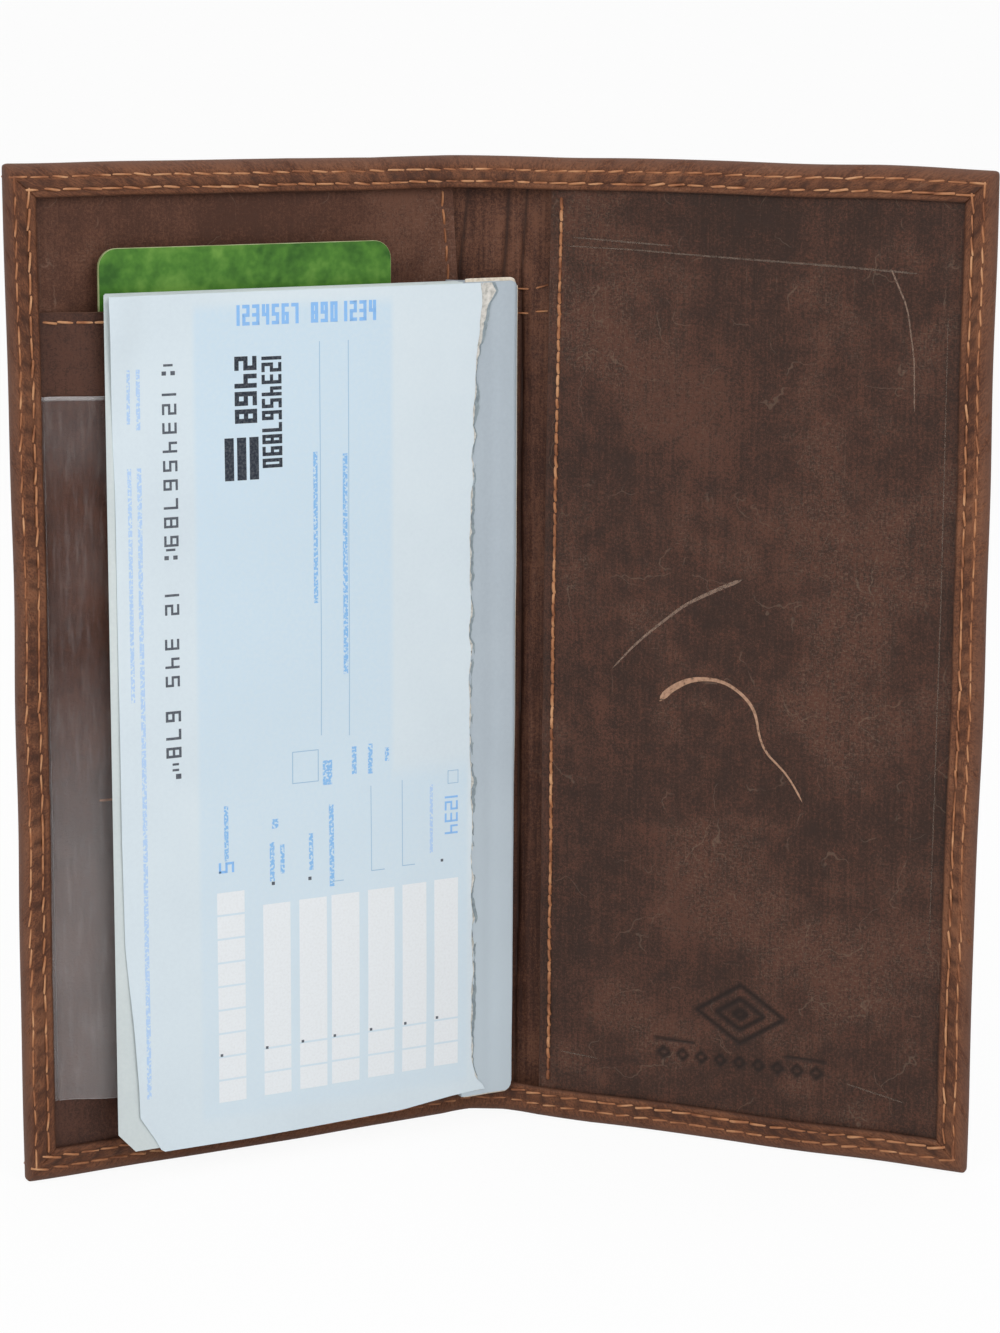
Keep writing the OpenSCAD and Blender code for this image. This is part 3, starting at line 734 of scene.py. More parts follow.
# A plain pressed ornament: a lozenge in a lozenge, with a row of small lozenges below it.
ornament = [(lozenge(41.8, 23.4, *half), width) for half, width in (
    ((8.2, 5.4), 0.9), ((4.4, 2.9), 0.9), ((1.1, 0.8), 1.1))]
ornament += [(lozenge(27.4 + 3.6 * k, 14.6 - 0.05 * k, 1.0, 1.0), 0.7) for k in range(9)]
ornament += [([(25.8, 17.2), (33.0, 17.0)], 0.6), ([(50.6, 16.6), (57.8, 16.4)], 0.6)]


def stamped(s, z):
    """How deep the ornament is pressed, from 0 to 1."""
    total = np.zeros(np.shape(s))
    near = (s > 24) & (s < 60) & (z > 11) & (z < 31)
    for points, width in ornament:
        total[near] = np.maximum(total[near], stroke(s[near], z[near], points, width))
    return total


def ruddy_field(s, z):
    """The warmer area left of the slanting pull mark, and some warm clouds."""
    line = 6.5 + (96 - z) * 0.42
    area = ease((line + 4 - s + 2.5 * ripple(s, z, 91, 14)) / 6) * ease((112 - z) / 30) * ease((z - 10) / 15)
    band = 0.8 * np.exp(-((s - line - 1) / 3.0) ** 2) * ease((100 - z) / 10) * ease((z - 30) / 12)
    warm_cloud = 0.65 * np.exp(-((s - 34) / 20) ** 2 - ((z - 127) / 18) ** 2)
    return np.clip(0.4 * area + 0.8 * band + warm_cloud + 0.12 * ripple(s, z, 92, 22), 0, 1)


def right_face(s, z):
    """The right pocket's front: a little fuller in the middle, and softly uneven."""
    full = ease((s - 6) / 30) * ease((76 - s) / 30) * ease((z - 8) / 60) * ease((166 - z) / 60)
    return 2.9 + 0.3 * full + 0.06 * ripple(s, z, 93, 16) * ease((77 - s) / 4)


fields = slab(graded((3.3, 12, 0.7), (12, 24, 1.4), (24, 60, 0.4), (60, 81.2, 1.2)),
              graded((2.8, 11, 1.2), (11, 31, 0.4), (31, 171.2, 1.5)),
              lambda s, z: right_face(s, z) - 0.22 * stamped(s, z), 2.2,
              edges=to_mouth(right_mouth, 3.3), blush=ruddy_field, press=lambda s, z: 1.3 * stamped(s, z))
panel = sew("right_pocket", fields, on("right"), right_leather)
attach(panel, "right_cover")
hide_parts("right_pocket_panel")


def scratch_leather(name, colour, strength):
    """Leather scratched down to its paler core, in a broken line."""
    made, tree, out = blank(name)
    gaps = noise(tree, flat_place(tree), 1.3, 4.0)
    bare = colours(tree, gaps, (0.35, tuple(0.7 * c for c in colour[:3]) + (1,)), (0.65, colour))
    coat(tree, out, bare, 0.75, specular=0.1, Alpha=times(tree, within(tree, gaps, 0.15, 0.42), strength))
    return made


def scratch_rings(points, widths):
    """One thin lens along a smooth line on the right panel's face, pointed at both ends."""
    points = np.array(points, float)
    run = np.concatenate([[0], np.cumsum(np.hypot(*np.diff(points, axis=0).T))])
    t = np.linspace(0, run[-1], max(8, int(run[-1] / 0.8)))
    soft = np.ones(5) / 5
    s, z = (np.interp(t, run, points[:, k]) for k in (0, 1))
    s[2:-2], z[2:-2] = np.convolve(s, soft, "valid"), np.convolve(z, soft, "valid")
    wide = np.interp(t / run[-1], np.linspace(0, 1, len(widths)), widths) / 2
    wide = wide * np.minimum(1, np.minimum(t, run[-1] - t) / 1.2)
    way = np.stack([np.gradient(s), np.gradient(z)])
    way /= np.hypot(*way)
    n = right_face(s, z)
    high = np.minimum(0.03, wide)
    rows = [(-wide, 0 * wide), (0 * wide, high), (wide, 0 * wide), (0 * wide, -high), (-wide, 0 * wide)]
    return patch(np.stack([s - way[1] * a for a, _ in rows]), np.stack([n + 0.01 + b for _, b in rows]),
                 np.stack([z + way[0] * a for a, _ in rows]))


for name, colour, strength, lines in (
        ("scratch_marks", tone(190, 150, 124), 0.85, [
            ([(25.8, 79.3), (26.9, 81), (29, 82.4), (30.7, 83.4), (32.3, 83.9), (34.8, 84.1), (37.2, 84),
              (39.4, 83.1), (41.3, 81.8), (42.8, 80.3), (43.9, 78.4), (44, 77), (44.6, 74.4), (45.4, 72.4),
              (47, 70.6), (48.9, 69.2), (50.2, 67.5), (51.6, 65.4), (52.7, 63.4)],
             (1.3, 1.1, 0.7, 0.55, 0.6, 0.4, 0.4, 0.35, 0.35))]),
        ("faint_scratch_marks", tone(158, 132, 116), 0.6, [
            ([(40.9, 102.3), (36.7, 100.4), (33, 98.5), (30.4, 97.1), (27.1, 94.5), (23.4, 91.4), (20.8, 89),
              (18.4, 86.4), (16.7, 84.5)], (0.7, 0.6, 0.45, 0.4, 0.25)),
            ([(66.1, 157.3), (69.2, 150.7), (70.6, 141.9), (70.9, 133)], (0.3, 0.25, 0.2))]),
        ("pressed_line_marks", tone(132, 114, 102), 0.5, [
            ([(7.0, 159.2), (20, 158.9), (34, 158.2), (49, 157.6), (60, 157.1), (71, 156.5)],
             (0.2, 0.25, 0.3, 0.35, 0.3)),
            ([(8.5, 160.7), (15, 160.4), (21, 160.1), (27, 159.8)], (0.2, 0.3, 0.2)),
            ([(7.3, 12.4), (11, 12.1), (15.1, 11.8)], (0.2, 0.25, 0.2)),
            ([(61.6, 13.1), (67, 12.0), (72.7, 10.8)], (0.2, 0.25, 0.2)),
            ([(76.3, 150), (76.5, 100), (76.2, 40)], (0.12, 0.2, 0.12))])):
    made = sew(name, [scratch_rings(points, widths) for points, widths in lines], on("right"),
               scratch_leather(name, colour, strength))
    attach(made, "right_cover")


# ---------------------------------------------------------------- Stitches
# Waxed tan thread, two rows round the border through the hem and the hide, so that they show on both
# faces, and one row along each open edge of a panel. Every stitch dips into its two holes.
def tree_with(name, **sockets):
    """A new node tree that turns a base mesh into a mesh, and its named inputs."""
    tree = bpy.data.node_groups.new(name, "GeometryNodeTree")
    for label, kind in sockets.items():
        tree.interface.new_socket(label, in_out="INPUT", socket_type=f"NodeSocket{kind}")
    tree.interface.new_socket("Made", in_out="OUTPUT", socket_type="NodeSocketGeometry")
    return tree, tree.nodes.new("NodeGroupInput").outputs


def random_in(tree, kind, low, high, seed):
    """A random value between two bounds, from a fixed seed."""
    made = add(tree, "FunctionNodeRandomValue", data_type=kind)
    bounds, outlet = (made.inputs[:2], 0) if kind == "FLOAT_VECTOR" else (made.inputs[2:4], 1)
    bounds[0].default_value, bounds[1].default_value = low, high
    tree.links.new(seed, made.inputs["Seed"])
    return made.outputs[outlet]


tree, inlet = tree_with("stitch_row", Path="Geometry", Pitch="Float", Length="Float", Thickness="Float", Rise="Float",
                        Seed="Int", Thread="Material")
stitch_tree = tree
path = add(tree, "GeometryNodeMeshToCurve", {0: inlet["Path"]})
even_row = add(tree, "GeometryNodeResampleCurve", {"Curve": path.outputs[0], "Length": inlet["Pitch"]},
               mode="LENGTH")
half = times(tree, inlet["Length"], 0.5)
sunk = times(tree, inlet["Thickness"], -0.45)
crown = number(tree, "SUBTRACT", inlet["Rise"], times(tree, inlet["Thickness"], 0.4))
crown = times(tree, crown, 1.33)
near_end = times(tree, half, 0.85)
start = add(tree, "ShaderNodeCombineXYZ", {"X": times(tree, half, -1.0), "Z": sunk})
first = add(tree, "ShaderNodeCombineXYZ", {"X": times(tree, near_end, -1.0), "Z": crown})
second = add(tree, "ShaderNodeCombineXYZ", {"X": near_end, "Z": crown})
end = add(tree, "ShaderNodeCombineXYZ", {"X": half, "Z": sunk})
arc = add(tree, "GeometryNodeCurvePrimitiveBezierSegment",
          {"Resolution": 7, "Start": start.outputs[0], "Start Handle": first.outputs[0],
           "End Handle": second.outputs[0], "End": end.outputs[0]}, mode="POSITION")
strand = add(tree, "GeometryNodeCurvePrimitiveCircle",
             {"Resolution": 6, "Radius": times(tree, inlet["Thickness"], 0.5)})
body = add(tree, "GeometryNodeCurveToMesh",
           {"Curve": arc.outputs[0], "Profile Curve": strand.outputs[0], "Fill Caps": True})
heading = add(tree, "FunctionNodeAlignRotationToVector",
              {"Vector": add(tree, "GeometryNodeInputTangent").outputs[0]}, axis="X")
slant = random_in(tree, "FLOAT", -0.04, 0.16, inlet["Seed"])
yaw = add(tree, "ShaderNodeCombineXYZ", {"Z": slant})
yaw = add(tree, "FunctionNodeEulerToRotation", {0: yaw.outputs[0]})
turned = add(tree, "FunctionNodeRotateRotation", {"Rotation": heading.outputs[0], "Rotate By": yaw.outputs[0]},
             rotation_space="LOCAL")
uneven = random_in(tree, "FLOAT_VECTOR", (0.9, 0.88, 0.85), (1.08, 1.12, 1.15), inlet["Seed"])
laid = add(tree, "GeometryNodeInstanceOnPoints", {"Points": even_row.outputs[0], "Instance": body.outputs[0],
                                                  "Rotation": turned.outputs[0], "Scale": uneven})
solid = add(tree, "GeometryNodeRealizeInstances", {0: laid.outputs[0]})
solid = add(tree, "GeometryNodeSetShadeSmooth", {0: solid.outputs[0]})
solid = add(tree, "GeometryNodeSetMaterial", {"Geometry": solid.outputs[0], "Material": inlet["Thread"]})
add(tree, "NodeGroupOutput", {0: solid.outputs[0]})

tan_thread, tree, out = blank("tan_thread")
place = add(tree, "ShaderNodeTexCoord").outputs["Object"]
dirt = noise(tree, place, 240.0, 3.0, space="3D")
twist = add(tree, "ShaderNodeTexWave", {"Vector": place, "Scale": 420.0, "Distortion": 1.0},
            wave_type="BANDS", bands_direction="DIAGONAL").outputs[1]
colour = colours(tree, dirt, (0.34, tone(122, 70, 38)), (0.5, tone(166, 108, 68)), (0.68, tone(198, 146, 104)))
coat(tree, out, colour, 0.62, (twist, 0.5, 0.00008))


def repeat(name, base, nodes, values):
    """Runs a node tree on a base mesh and keeps only the plain mesh that comes out."""
    holder = put(name, base)
    modifier = holder.modifiers.new("repeat", "NODES")
    modifier.node_group = nodes
    for item in nodes.interface.items_tree:
        if item.in_out == "INPUT" and item.name in values:
            modifier[item.identifier] = values[item.name]
    bpy.context.view_layer.update()
    made = bpy.data.meshes.new_from_object(holder.evaluated_get(bpy.context.evaluated_depsgraph_get()))
    bpy.data.objects.remove(holder)
    return made


def move_points(mesh, place):
    """Moves every point of a mesh to where place() puts it."""
    spots = np.zeros(3 * len(mesh.vertices))
    mesh.vertices.foreach_get("co", spots)
    mesh.vertices.foreach_set("co", place(*spots.reshape(-1, 3).T).ravel())


def stitches(name, parts, pitch, length=3.3, thick=0.42, rise=0.24, seed=1):
    """Rows of stitches along flat paths of (s, n, z). Each part is some rows and a way to place them,
    so that the same thread can show on both faces."""
    meshes = []
    for rows, placing in parts:
        points, edges = [], []
        for row in rows:
            first = len(points)
            points += [(s, z, n) for s, n, z in row]
            edges += [(k, k + 1) for k in range(first, len(points) - 1)]
        base = bpy.data.meshes.new("row")
        base.from_pydata(points, edges, [])
        meshes.append(repeat("row", base, stitch_tree, {"Pitch": pitch, "Length": length, "Thickness": thick,
                                                        "Rise": rise, "Seed": seed, "Thread": tan_thread}))
        move_points(meshes[-1], lambda s, z, n: placing(s, n, z))
    final = bpy.data.meshes.new(name)
    outward(final, meshes)
    final.polygons.foreach_set("use_smooth", [True] * len(final.polygons))
    final.materials.append(tan_thread)
    made = put(name, final)
    return made


def line_of(s, n, z, side):
    """A path as rows of (s, n, z), with the outline's own wander."""
    s, n, z = np.broadcast_arrays(np.asarray(s, float), np.asarray(n, float), np.asarray(z, float))
    edge_s, edge_z = outline(s, z, side)
    return list(zip(edge_s.tolist(), n.tolist(), edge_z.tolist()))


def wander(t, seed):
    """A hand-guided row's slight wander along its way."""
    return 0.08 * ripple(t, 0 * t, seed, 24)


for side in ("left", "right"):
    parts = []
    for order, (mark, tall_n) in enumerate(zip(hem_marks[1:3], row_heights)):
        depth, low_in, high_in = (float(hem_depth(mark, edge)) for edge in (side, "foot", "top"))
        foot = np.arange(-half_spine + 1.9, panel_width - depth - 0.6, 1.0)
        tall = np.arange(low_in + 1.5 + order, cover_height - high_in - 0.6, 1.0)
        rows = [line_of(foot, tall_n, low_in + wander(foot, 111), side),
                line_of(panel_width - depth - wander(tall, 112 + order), tall_n, tall, side),
                line_of(foot, tall_n, cover_height - high_in - wander(foot, 114 + order), side)]
        parts.append((rows, on(side)))
        parts.append((rows, lambda s, n, z, base=tall_n: stand(s, base + back_groove - n, z, side)))
    row = stitches(f"border_stitches_{side}", parts, border_pitch, seed=3)
    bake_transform(row)
    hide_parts(f"border_thread_{side}", *(["border_thread_spine"] if side == "left" else []))

# The rows beside the open edges: through the pocket, above it, along its mouth, under the card, and
# along the right pocket.
lower = [(left_mouth(z) + 2.6, 2.95, z) for z in np.arange(8, 147.5, 1.0)]
upper = [(left_mouth(z) + float(np.interp(z, [152, 169], [1.9, 2.4])), 2.34, z)
         for z in np.arange(151.2, 168.2, 1.0)]
over = [(s, 2.98 + float(pocket_rise(s, 148.0)), card_mouth - 1.7 + 0.1 * math.sin(s / 9))
        for s in np.arange(4.2, 77.6, 1.0)]
below = [(s, 2.98 + float(pocket_rise(s, card_seam)), card_seam) for s in np.arange(15.2, 69, 1.0)]
tall = [(float(right_mouth(z)) + 1.95, 2.98, z) for z in np.arange(7.5, 167.5, 1.0)]
for name, node, side, rows, pitch, look in (
        ("left_mouth_stitches", "left_mouth_thread", "left", [lower, upper], 2.75,
         {"length": 2.6, "thick": 0.5, "rise": 0.32, "seed": 5}),
        ("card_pocket_stitches", "card_pocket_thread", "left", [over], 3.05, {"length": 2.85, "seed": 6}),
        ("card_pocket_foot_stitches", "card_pocket_seam", "left", [below], 3.05, {"length": 2.85, "seed": 7}),
        ("right_mouth_stitches", "right_mouth_thread", "right", [tall], 2.05,
         {"length": 1.8, "thick": 0.58, "rise": 0.4, "seed": 8})):
    row = stitches(name, [(rows, on(side))], pitch, **look)
    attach(row, f"{side}_cover")
    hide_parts(node)
for side in ("left", "right"):
    relief = lining_relief(side)
    span = np.arange(-half_spine + 1.4, 2.4, 0.8)
    rows = [[(s, 1.1 + float(relief(np.array(s), np.array(z))), z + 0.2 * math.sin(s)) for s in span]
            for z in (151.5, 147.2)]
    row = stitches(f"lap_stitches_{side}", [(rows, on(side))], 2.9, length=2.85, thick=0.34, rise=0.3, seed=9)
    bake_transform(row)


# ---------------------------------------------------------------- Clear divider
# Soft milky vinyl film, 0.15 mm thick, sewn under the left hem. It rises over the formed pocket and
# lies behind the pad. The light its free edges catch is painted in, as a whiter line along its top edge and rims.
clear_film, tree, out = blank("clear_film")
flat = flat_place(tree)
haze, scuff = noise(tree, flat, 0.06, 1.0), noise(tree, flat, 1.1, 4.0, stretch=(1.0, 0.12, 1.0))
high_up = split(tree, flat)[1]
# Milkier towards the foot and a little near the top. The narrow band at 135.2 to 135.7 mm and the rims' edge mark are
# a painted highlight along the free edges.
bands = [(high_up, 100, 52, 0.12), (scuff, 0.45, 0.8, 0.04), (haze, 0.5, 0.8, 0.02), (high_up, 116, 132, 0.035),
         (high_up, 135.2, 135.7, 0.3)]
milky_and_edge_light = plus(tree, *(times(tree, within(tree, value, low, high), share) for value, low, high, share in bands),
             times(tree, finish_and_shade_marks(tree)[0], 0.35), clamp=True)
coat(tree, out, tone(205, 200, 200), 0.35, (haze, 0.2, 0.0003), Alpha=milky_and_edge_light)
film_low, film_high, film_free, film_crease = 13.5, 136.0, 33.3, 78.3


def film_back(s, z):
    """The film lies on the pocket by its crease, then clears the formed part."""
    lift = 2.9 * ease((77.8 - s) / 8.8)
    return 3.02 + lift + 0.06 * ripple(s, z, 121, 30) * ease((76 - s) / 4)


def upright(u, n, z):
    """Puts held contents in front of the left panel, in its own plane, also where they pass the fold."""
    angle = math.radians(lean["left"])
    x = -half_spine - math.cos(angle) * u + math.sin(angle) * n
    y = fold_back - math.sin(angle) * u - math.cos(angle) * n
    return np.stack([x, y, lifted(z) + 0 * x], -1) / 1000


fields = slab(graded((film_free, 66, 3), (66, film_crease, 0.6)), graded((film_low, film_high, 3)),
              lambda s, z: film_back(s, z) + 0.15, film_back, rim=0.05)
flap = sew("divider_film", fields, upright, clear_film)
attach(flap, "divider")
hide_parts("divider_flap")
fields = slab(graded((78.35, 80.9, 0.6)), graded((film_low, film_high, 3)), 3.08, 2.93, rim=0.02)
tongue = sew("divider_sewn_edge_film", fields, upright, clear_film)
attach(tongue, "left_cover")
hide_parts("divider_sewn_edge")


# ---------------------------------------------------------------- Card
# A plastic card of the usual size, 0.76 mm thick, mottled green with a pale bare core at its edge.
green_face, tree, out = blank("green_card_face")
place = add(tree, "ShaderNodeTexCoord").outputs["Object"]
patches, speck = noise(tree, place, 90.0, 4.0, 0.6, space="3D"), noise(tree, place, 700.0, 2.0, space="3D")
mixed = plus(tree, times(tree, patches, 0.8), times(tree, speck, 0.2))
colour = colours(tree, mixed, (0.38, tone(40, 90, 14)), (0.5, tone(70, 122, 34)), (0.62, tone(104, 150, 58)))
coat(tree, out, colour, 0.42, specular=0.35)
pale_core, tree, out = blank("pale_card_core")
grime = noise(tree, add(tree, "ShaderNodeTexCoord").outputs["Object"], 300.0, 3.0, space="3D")
coat(tree, out, colours(tree, grime, (0.35, tone(140, 150, 100)), (0.65, tone(178, 188, 142))), 0.5)


def rounded(u0, u1, z0, z1, radius, inset):
    """The outline of a card with round corners, drawn in by an inset."""
    ring = []
    for cu, cz, start in ((u1 - radius, z1 - radius, 0), (u0 + radius, z1 - radius, 90),
                          (u0 + radius, z0 + radius, 180), (u1 - radius, z0 + radius, 270)):
        for step in range(9):
            angle = math.radians(start + 11.25 * step)
            ring.append((cu + (radius - inset) * math.cos(angle), cz + (radius - inset) * math.sin(angle)))
    return np.array(ring)


# The card's height in front of the hide's middle, and how far its edge is drawn in there.
levels = ((4.26, 0.08), (4.31, 0.02), (4.36, 0.0), (4.9, 0.0), (4.96, 0.02), (5.0, 0.08))
rings = [rounded(14.9, 68.9, card_foot, 160.5, 3.2, inset) for _, inset in levels]
points = np.concatenate([upright(ring[:, 0], level, ring[:, 1]) for ring, (level, _) in zip(rings, levels)])
count = len(rings[0])
faces = [[k * count + i, k * count + (i + 1) % count, (k + 1) * count + (i + 1) % count, (k + 1) * count + i]
         for k in range(len(levels) - 1) for i in range(count)]
faces += [list(range(count))[::-1], list(range((len(levels) - 1) * count, len(levels) * count))]
mesh = bpy.data.meshes.new("green_card")
mesh.from_pydata(points.tolist(), [], faces)
outward(mesh, [mesh])
mesh.materials.append(green_face)
mesh.materials.append(pale_core)
mesh.polygons.foreach_set("material_index", [1] * (len(faces) - 2) + [0, 0])
green_card = put("green_card", mesh)
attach(green_card, "card")
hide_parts("card")


# ---------------------------------------------------------------- Pad of slips
# Some twenty thin slips bound at one end, with a manila backer that goes down into the left pocket.
# A slip or two was torn off, which left ragged cream paper along the stub.
def paper(name, low, mid, high, fibre=0.3, tint=None, foot=None):
    """Plain uncoated paper with a faint cloudy tone and fine fibres. A tint is a printed field of
    fine speckles, which stops short of the slip's margins; a foot is a paler tone low down."""
    made, tree, out = blank(name)
    place = add(tree, "ShaderNodeTexCoord").outputs["Object"]
    cloud, fine = noise(tree, place, 40.0, 3.0, space="3D"), noise(tree, place, 1600.0, 3.0, space="3D")
    mixed = plus(tree, times(tree, cloud, 1 - fibre), times(tree, fine, fibre))
    colour = colours(tree, mixed, (0.25, low), (0.5, mid), (0.75, high))
    flat = flat_place(tree)
    across, up = split(tree, flat)[:2]
    if foot:
        colour = blend_tones(tree, within(tree, up, 90, 15), colour, foot)
    if tint:
        inner = number(tree, "MAXIMUM", within(tree, across, 16.2, 17.6), within(tree, up, 70, 64))
        fading = plus(tree, 0.4, times(tree, within(tree, up, 10, 110), 0.6))
        specks = plus(tree, 0.55, times(tree, noise(tree, flat, 1.4, 2.0), 0.7))
        field = times(tree, within(tree, across, 54.6, 53.2), within(tree, across, 1.6, 2.6), inner,
                      within(tree, up, 152, 149), within(tree, up, 6.5, 9.5), fading, specks, clamp=True)
        colour = blend_tones(tree, field, colour, tint)
    coat(tree, out, colour, 0.7, (fine, 0.12, 0.00005), 0.3)
    return made


manila = paper("manila_card", tone(196, 178, 140), tone(214, 198, 164), tone(226, 212, 184))
slip_blue = paper("slip_blue_paper", tone(207, 219, 227), tone(213, 225, 232), tone(218, 229, 235),
                  tint=tone(202, 221, 234))
leaf_white = paper("leaf_edge_paper", tone(196, 205, 206), tone(206, 214, 214), tone(216, 224, 222))
# The stub is the slips' own blue paper, painted a darker grey-blue as the shade on its face, which turns away from
# the light; it is paler towards its foot.
shaded_stub_paper = paper("stub_paper_painted_shade", tone(168, 179, 187), tone(176, 187, 196), tone(184, 195, 203),
                  foot=tone(189, 201, 209))
torn_cream = paper("torn_cream_paper", tone(150, 150, 144), tone(206, 203, 196), tone(232, 228, 222), fibre=0.8)
cream_edge = paper("cream_edge_paper", tone(196, 182, 160), tone(224, 212, 194), tone(236, 228, 216), fibre=0.8)
# Grey paper that paints the shadow the torn edge casts on the stub.
torn_edge_shadow_paper = paper("torn_edge_painted_shadow", tone(112, 122, 128), tone(138, 150, 156), tone(164, 176, 182), fibre=0.7)

# The slips run up from their foot, and out from the bend where they leave the stub.
pad_foot, pad_top, slip_bend, pad_reach = 4.7, 153.0, 3.06, 69.75
fields = slab(np.linspace(3.1, 63.0, 12), np.linspace(6.5, pad_top, 12), 1.39, 1.12, rim=0.05)
backer = sew("pad_backer_card", fields, upright, manila)
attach(backer, "left_cover")
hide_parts("pad_backer")

leaf_count, block_back, block_thick = 21, 6.16, 3.06
leaf_gap = block_thick / leaf_count
# One slip of the block: its foot rises a little towards the stub, and its outer corner is worn off.
leaf_edge = [(slip_bend, 6.3), (4.6, 6.0), (14, 5.0), (30, pad_foot), (66.6, pad_foot), (pad_reach, pad_foot + 3.1),
             (pad_reach, pad_top), (slip_bend, pad_top)]
leaf_sides = len(leaf_edge)
thick_leaf = leaf_gap * 0.86
points = [(a, b, 0.0) for a, b in leaf_edge] + [(a, b, thick_leaf) for a, b in leaf_edge]
faces = [list(range(leaf_sides))[::-1], list(range(leaf_sides, 2 * leaf_sides))]
faces += [[k, (k + 1) % leaf_sides, leaf_sides + (k + 1) % leaf_sides, leaf_sides + k] for k in range(leaf_sides)]
leaf = bpy.data.meshes.new("leaf")
leaf.from_pydata(points, [], faces)
tree, inlet = tree_with("leaf_stack", Leaf="Geometry", Count="Int", Gap="Float", Slip="Float", Seed="Int",
                        Paper="Material")
lift = add(tree, "ShaderNodeCombineXYZ", {"Z": inlet["Gap"]})
pile = add(tree, "GeometryNodeMeshLine", {"Count": inlet["Count"], "Offset": lift.outputs[0]})
shift = random_in(tree, "FLOAT_VECTOR", (-1, -1, 0), (1, 1, 0), inlet["Seed"])
reach = add(tree, "ShaderNodeCombineXYZ", {"X": inlet["Slip"], "Y": inlet["Slip"]})
shifted = add(tree, "ShaderNodeVectorMath", {0: shift, 1: reach.outputs[0]}, operation="MULTIPLY")
moved = add(tree, "GeometryNodeSetPosition", {"Geometry": pile.outputs[0], "Offset": shifted.outputs[0]})
laid = add(tree, "GeometryNodeInstanceOnPoints", {"Points": moved.outputs[0], "Instance": inlet["Leaf"]})
solid = add(tree, "GeometryNodeRealizeInstances", {0: laid.outputs[0]})
solid = add(tree, "GeometryNodeSetMaterial", {"Geometry": solid.outputs[0], "Material": inlet["Paper"]})
add(tree, "NodeGroupOutput", {0: solid.outputs[0]})
mesh = repeat("slip_block", leaf, tree, {"Count": leaf_count, "Gap": leaf_gap, "Slip": 0.16, "Seed": 4,
                                         "Paper": leaf_white})
move_points(mesh, lambda u, z, n: upright(u - 0.5 * (block_thick - n) * u / pad_reach, block_back + n, z))
mesh.flip_normals()
block = put("slip_block", mesh)
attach(block, "slips")
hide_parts("pad_slips")

# The torn line where the slips leave the stub: height and distance from the fold.
torn_line = ((3.0, -2.4), (4.8, -1.3), (6.7, 0.5), (10.4, 1.0), (14, 1.2), (20, 1.2), (27, 0.9), (38, 1.1),
             (48, 1.3), (57, 1.2), (75, 1.7), (94, 1.6), (109, 1.7), (120, 1.2), (131, 1.0), (138.4, 0.6),
             (142, 0.3), (146, -0.2), (150, -0.6), (153.3, -0.3))


def torn(z):
    """The front slip's ragged end."""
    return np.interp(z, *zip(*torn_line)) + 0.1 * ripple(0 * z, z, 131, 5) + 0.05 * ripple(0 * z, z, 132, 1.6)


def slip_lift(u, z):
    """Height of the front slip's face: nearly flat, with a soft curl at its upper outer corner."""
    curl = 0.75 * ease((u - 61.0 - 0.2 * (151.5 - z)) / 7.5) * ease((z - 122) / 26)
    dog_ear = 0.25 * ease((u - 58) / 12) * ease((30 - z) / 26)
    return 9.5 + 0.1 * ripple(u, z, 141, 55) * ease((u - 1) / 12) + curl + dog_ear


def slip_under(u, z):
    """The front slip's back."""
    return slip_lift(u, z) - 0.13


def slip_edges(u, z):
    """Ragged on the stub's side, a little askew outside, its foot askew, and a dog-eared corner."""
    share = np.clip((slip_bend - u) / slip_bend, 0, 1)
    u = u + share * torn(z)
    outside = ease((u - 40) / 29)
    u = u - outside * np.interp(z, [0, 10, 25, 41, 60, 120, 146, 153], [3.6, 3.4, 2.6, 1.3, 1.0, 0.9, 0.2, 0.0])
    low = np.clip(1 - (z - 4.0) / 40, 0, 1) ** 2
    z = z + low * np.interp(u, [0, 5, 15, 45, 70], [1.9, 1.6, 0.6, 0.0, 0.0])
    z = z + np.clip(u - 61.6, 0, None) * 1.55 * low
    return u, z


slip_up = graded((3.9, 16, 1.0), (16, 120, 2.0), (120, 152.9, 1.0))
fields = slab(graded((slip_bend, 14, 0.7), (14, 58, 2), (58, 69.2, 0.8)), slip_up, slip_lift, slip_under, rim=0.0,
              edges=slip_edges)
front_slip = sew("front_slip", fields, upright, slip_blue)
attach(front_slip, "front_slip")
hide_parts("pad_top_slip")

# What is printed on the front slip, as thin raised ink: only plain digits, rules, bars and boxes.
segments = dict(zip("0123456789", ("abcdef", "bc", "abged", "abgcd", "fgbc", "afgcd", "afgedc", "abc", "abcdefg",
                                   "abcdfg")))


def digit_bars(text, start, pitch, width, height, stroke, turned=True):
    """Bars of plain digits in a row. Turned digits run down the slip, with their tops to the right."""
    bars = []
    places = {"a": (0, height - stroke, width, height), "g": (0, (height - stroke) / 2, width, (height + stroke) / 2),
              "d": (0, 0, width, stroke), "f": (0, height / 2, stroke, height), "e": (0, 0, stroke, height / 2),
              "b": (width - stroke, height / 2, width, height), "c": (width - stroke, 0, width, height / 2)}
    for order, digit in enumerate(text):
        for key in segments.get(digit, ""):
            x0, y0, x1, y1 = places[key]
            x0, x1 = x0 + order * pitch, x1 + order * pitch
            u, z = start
            bars.append((u - y1, z - x1, u - y0, z - x0) if turned else (u - x1, z + y0, u - x0, z + y1))
    return bars


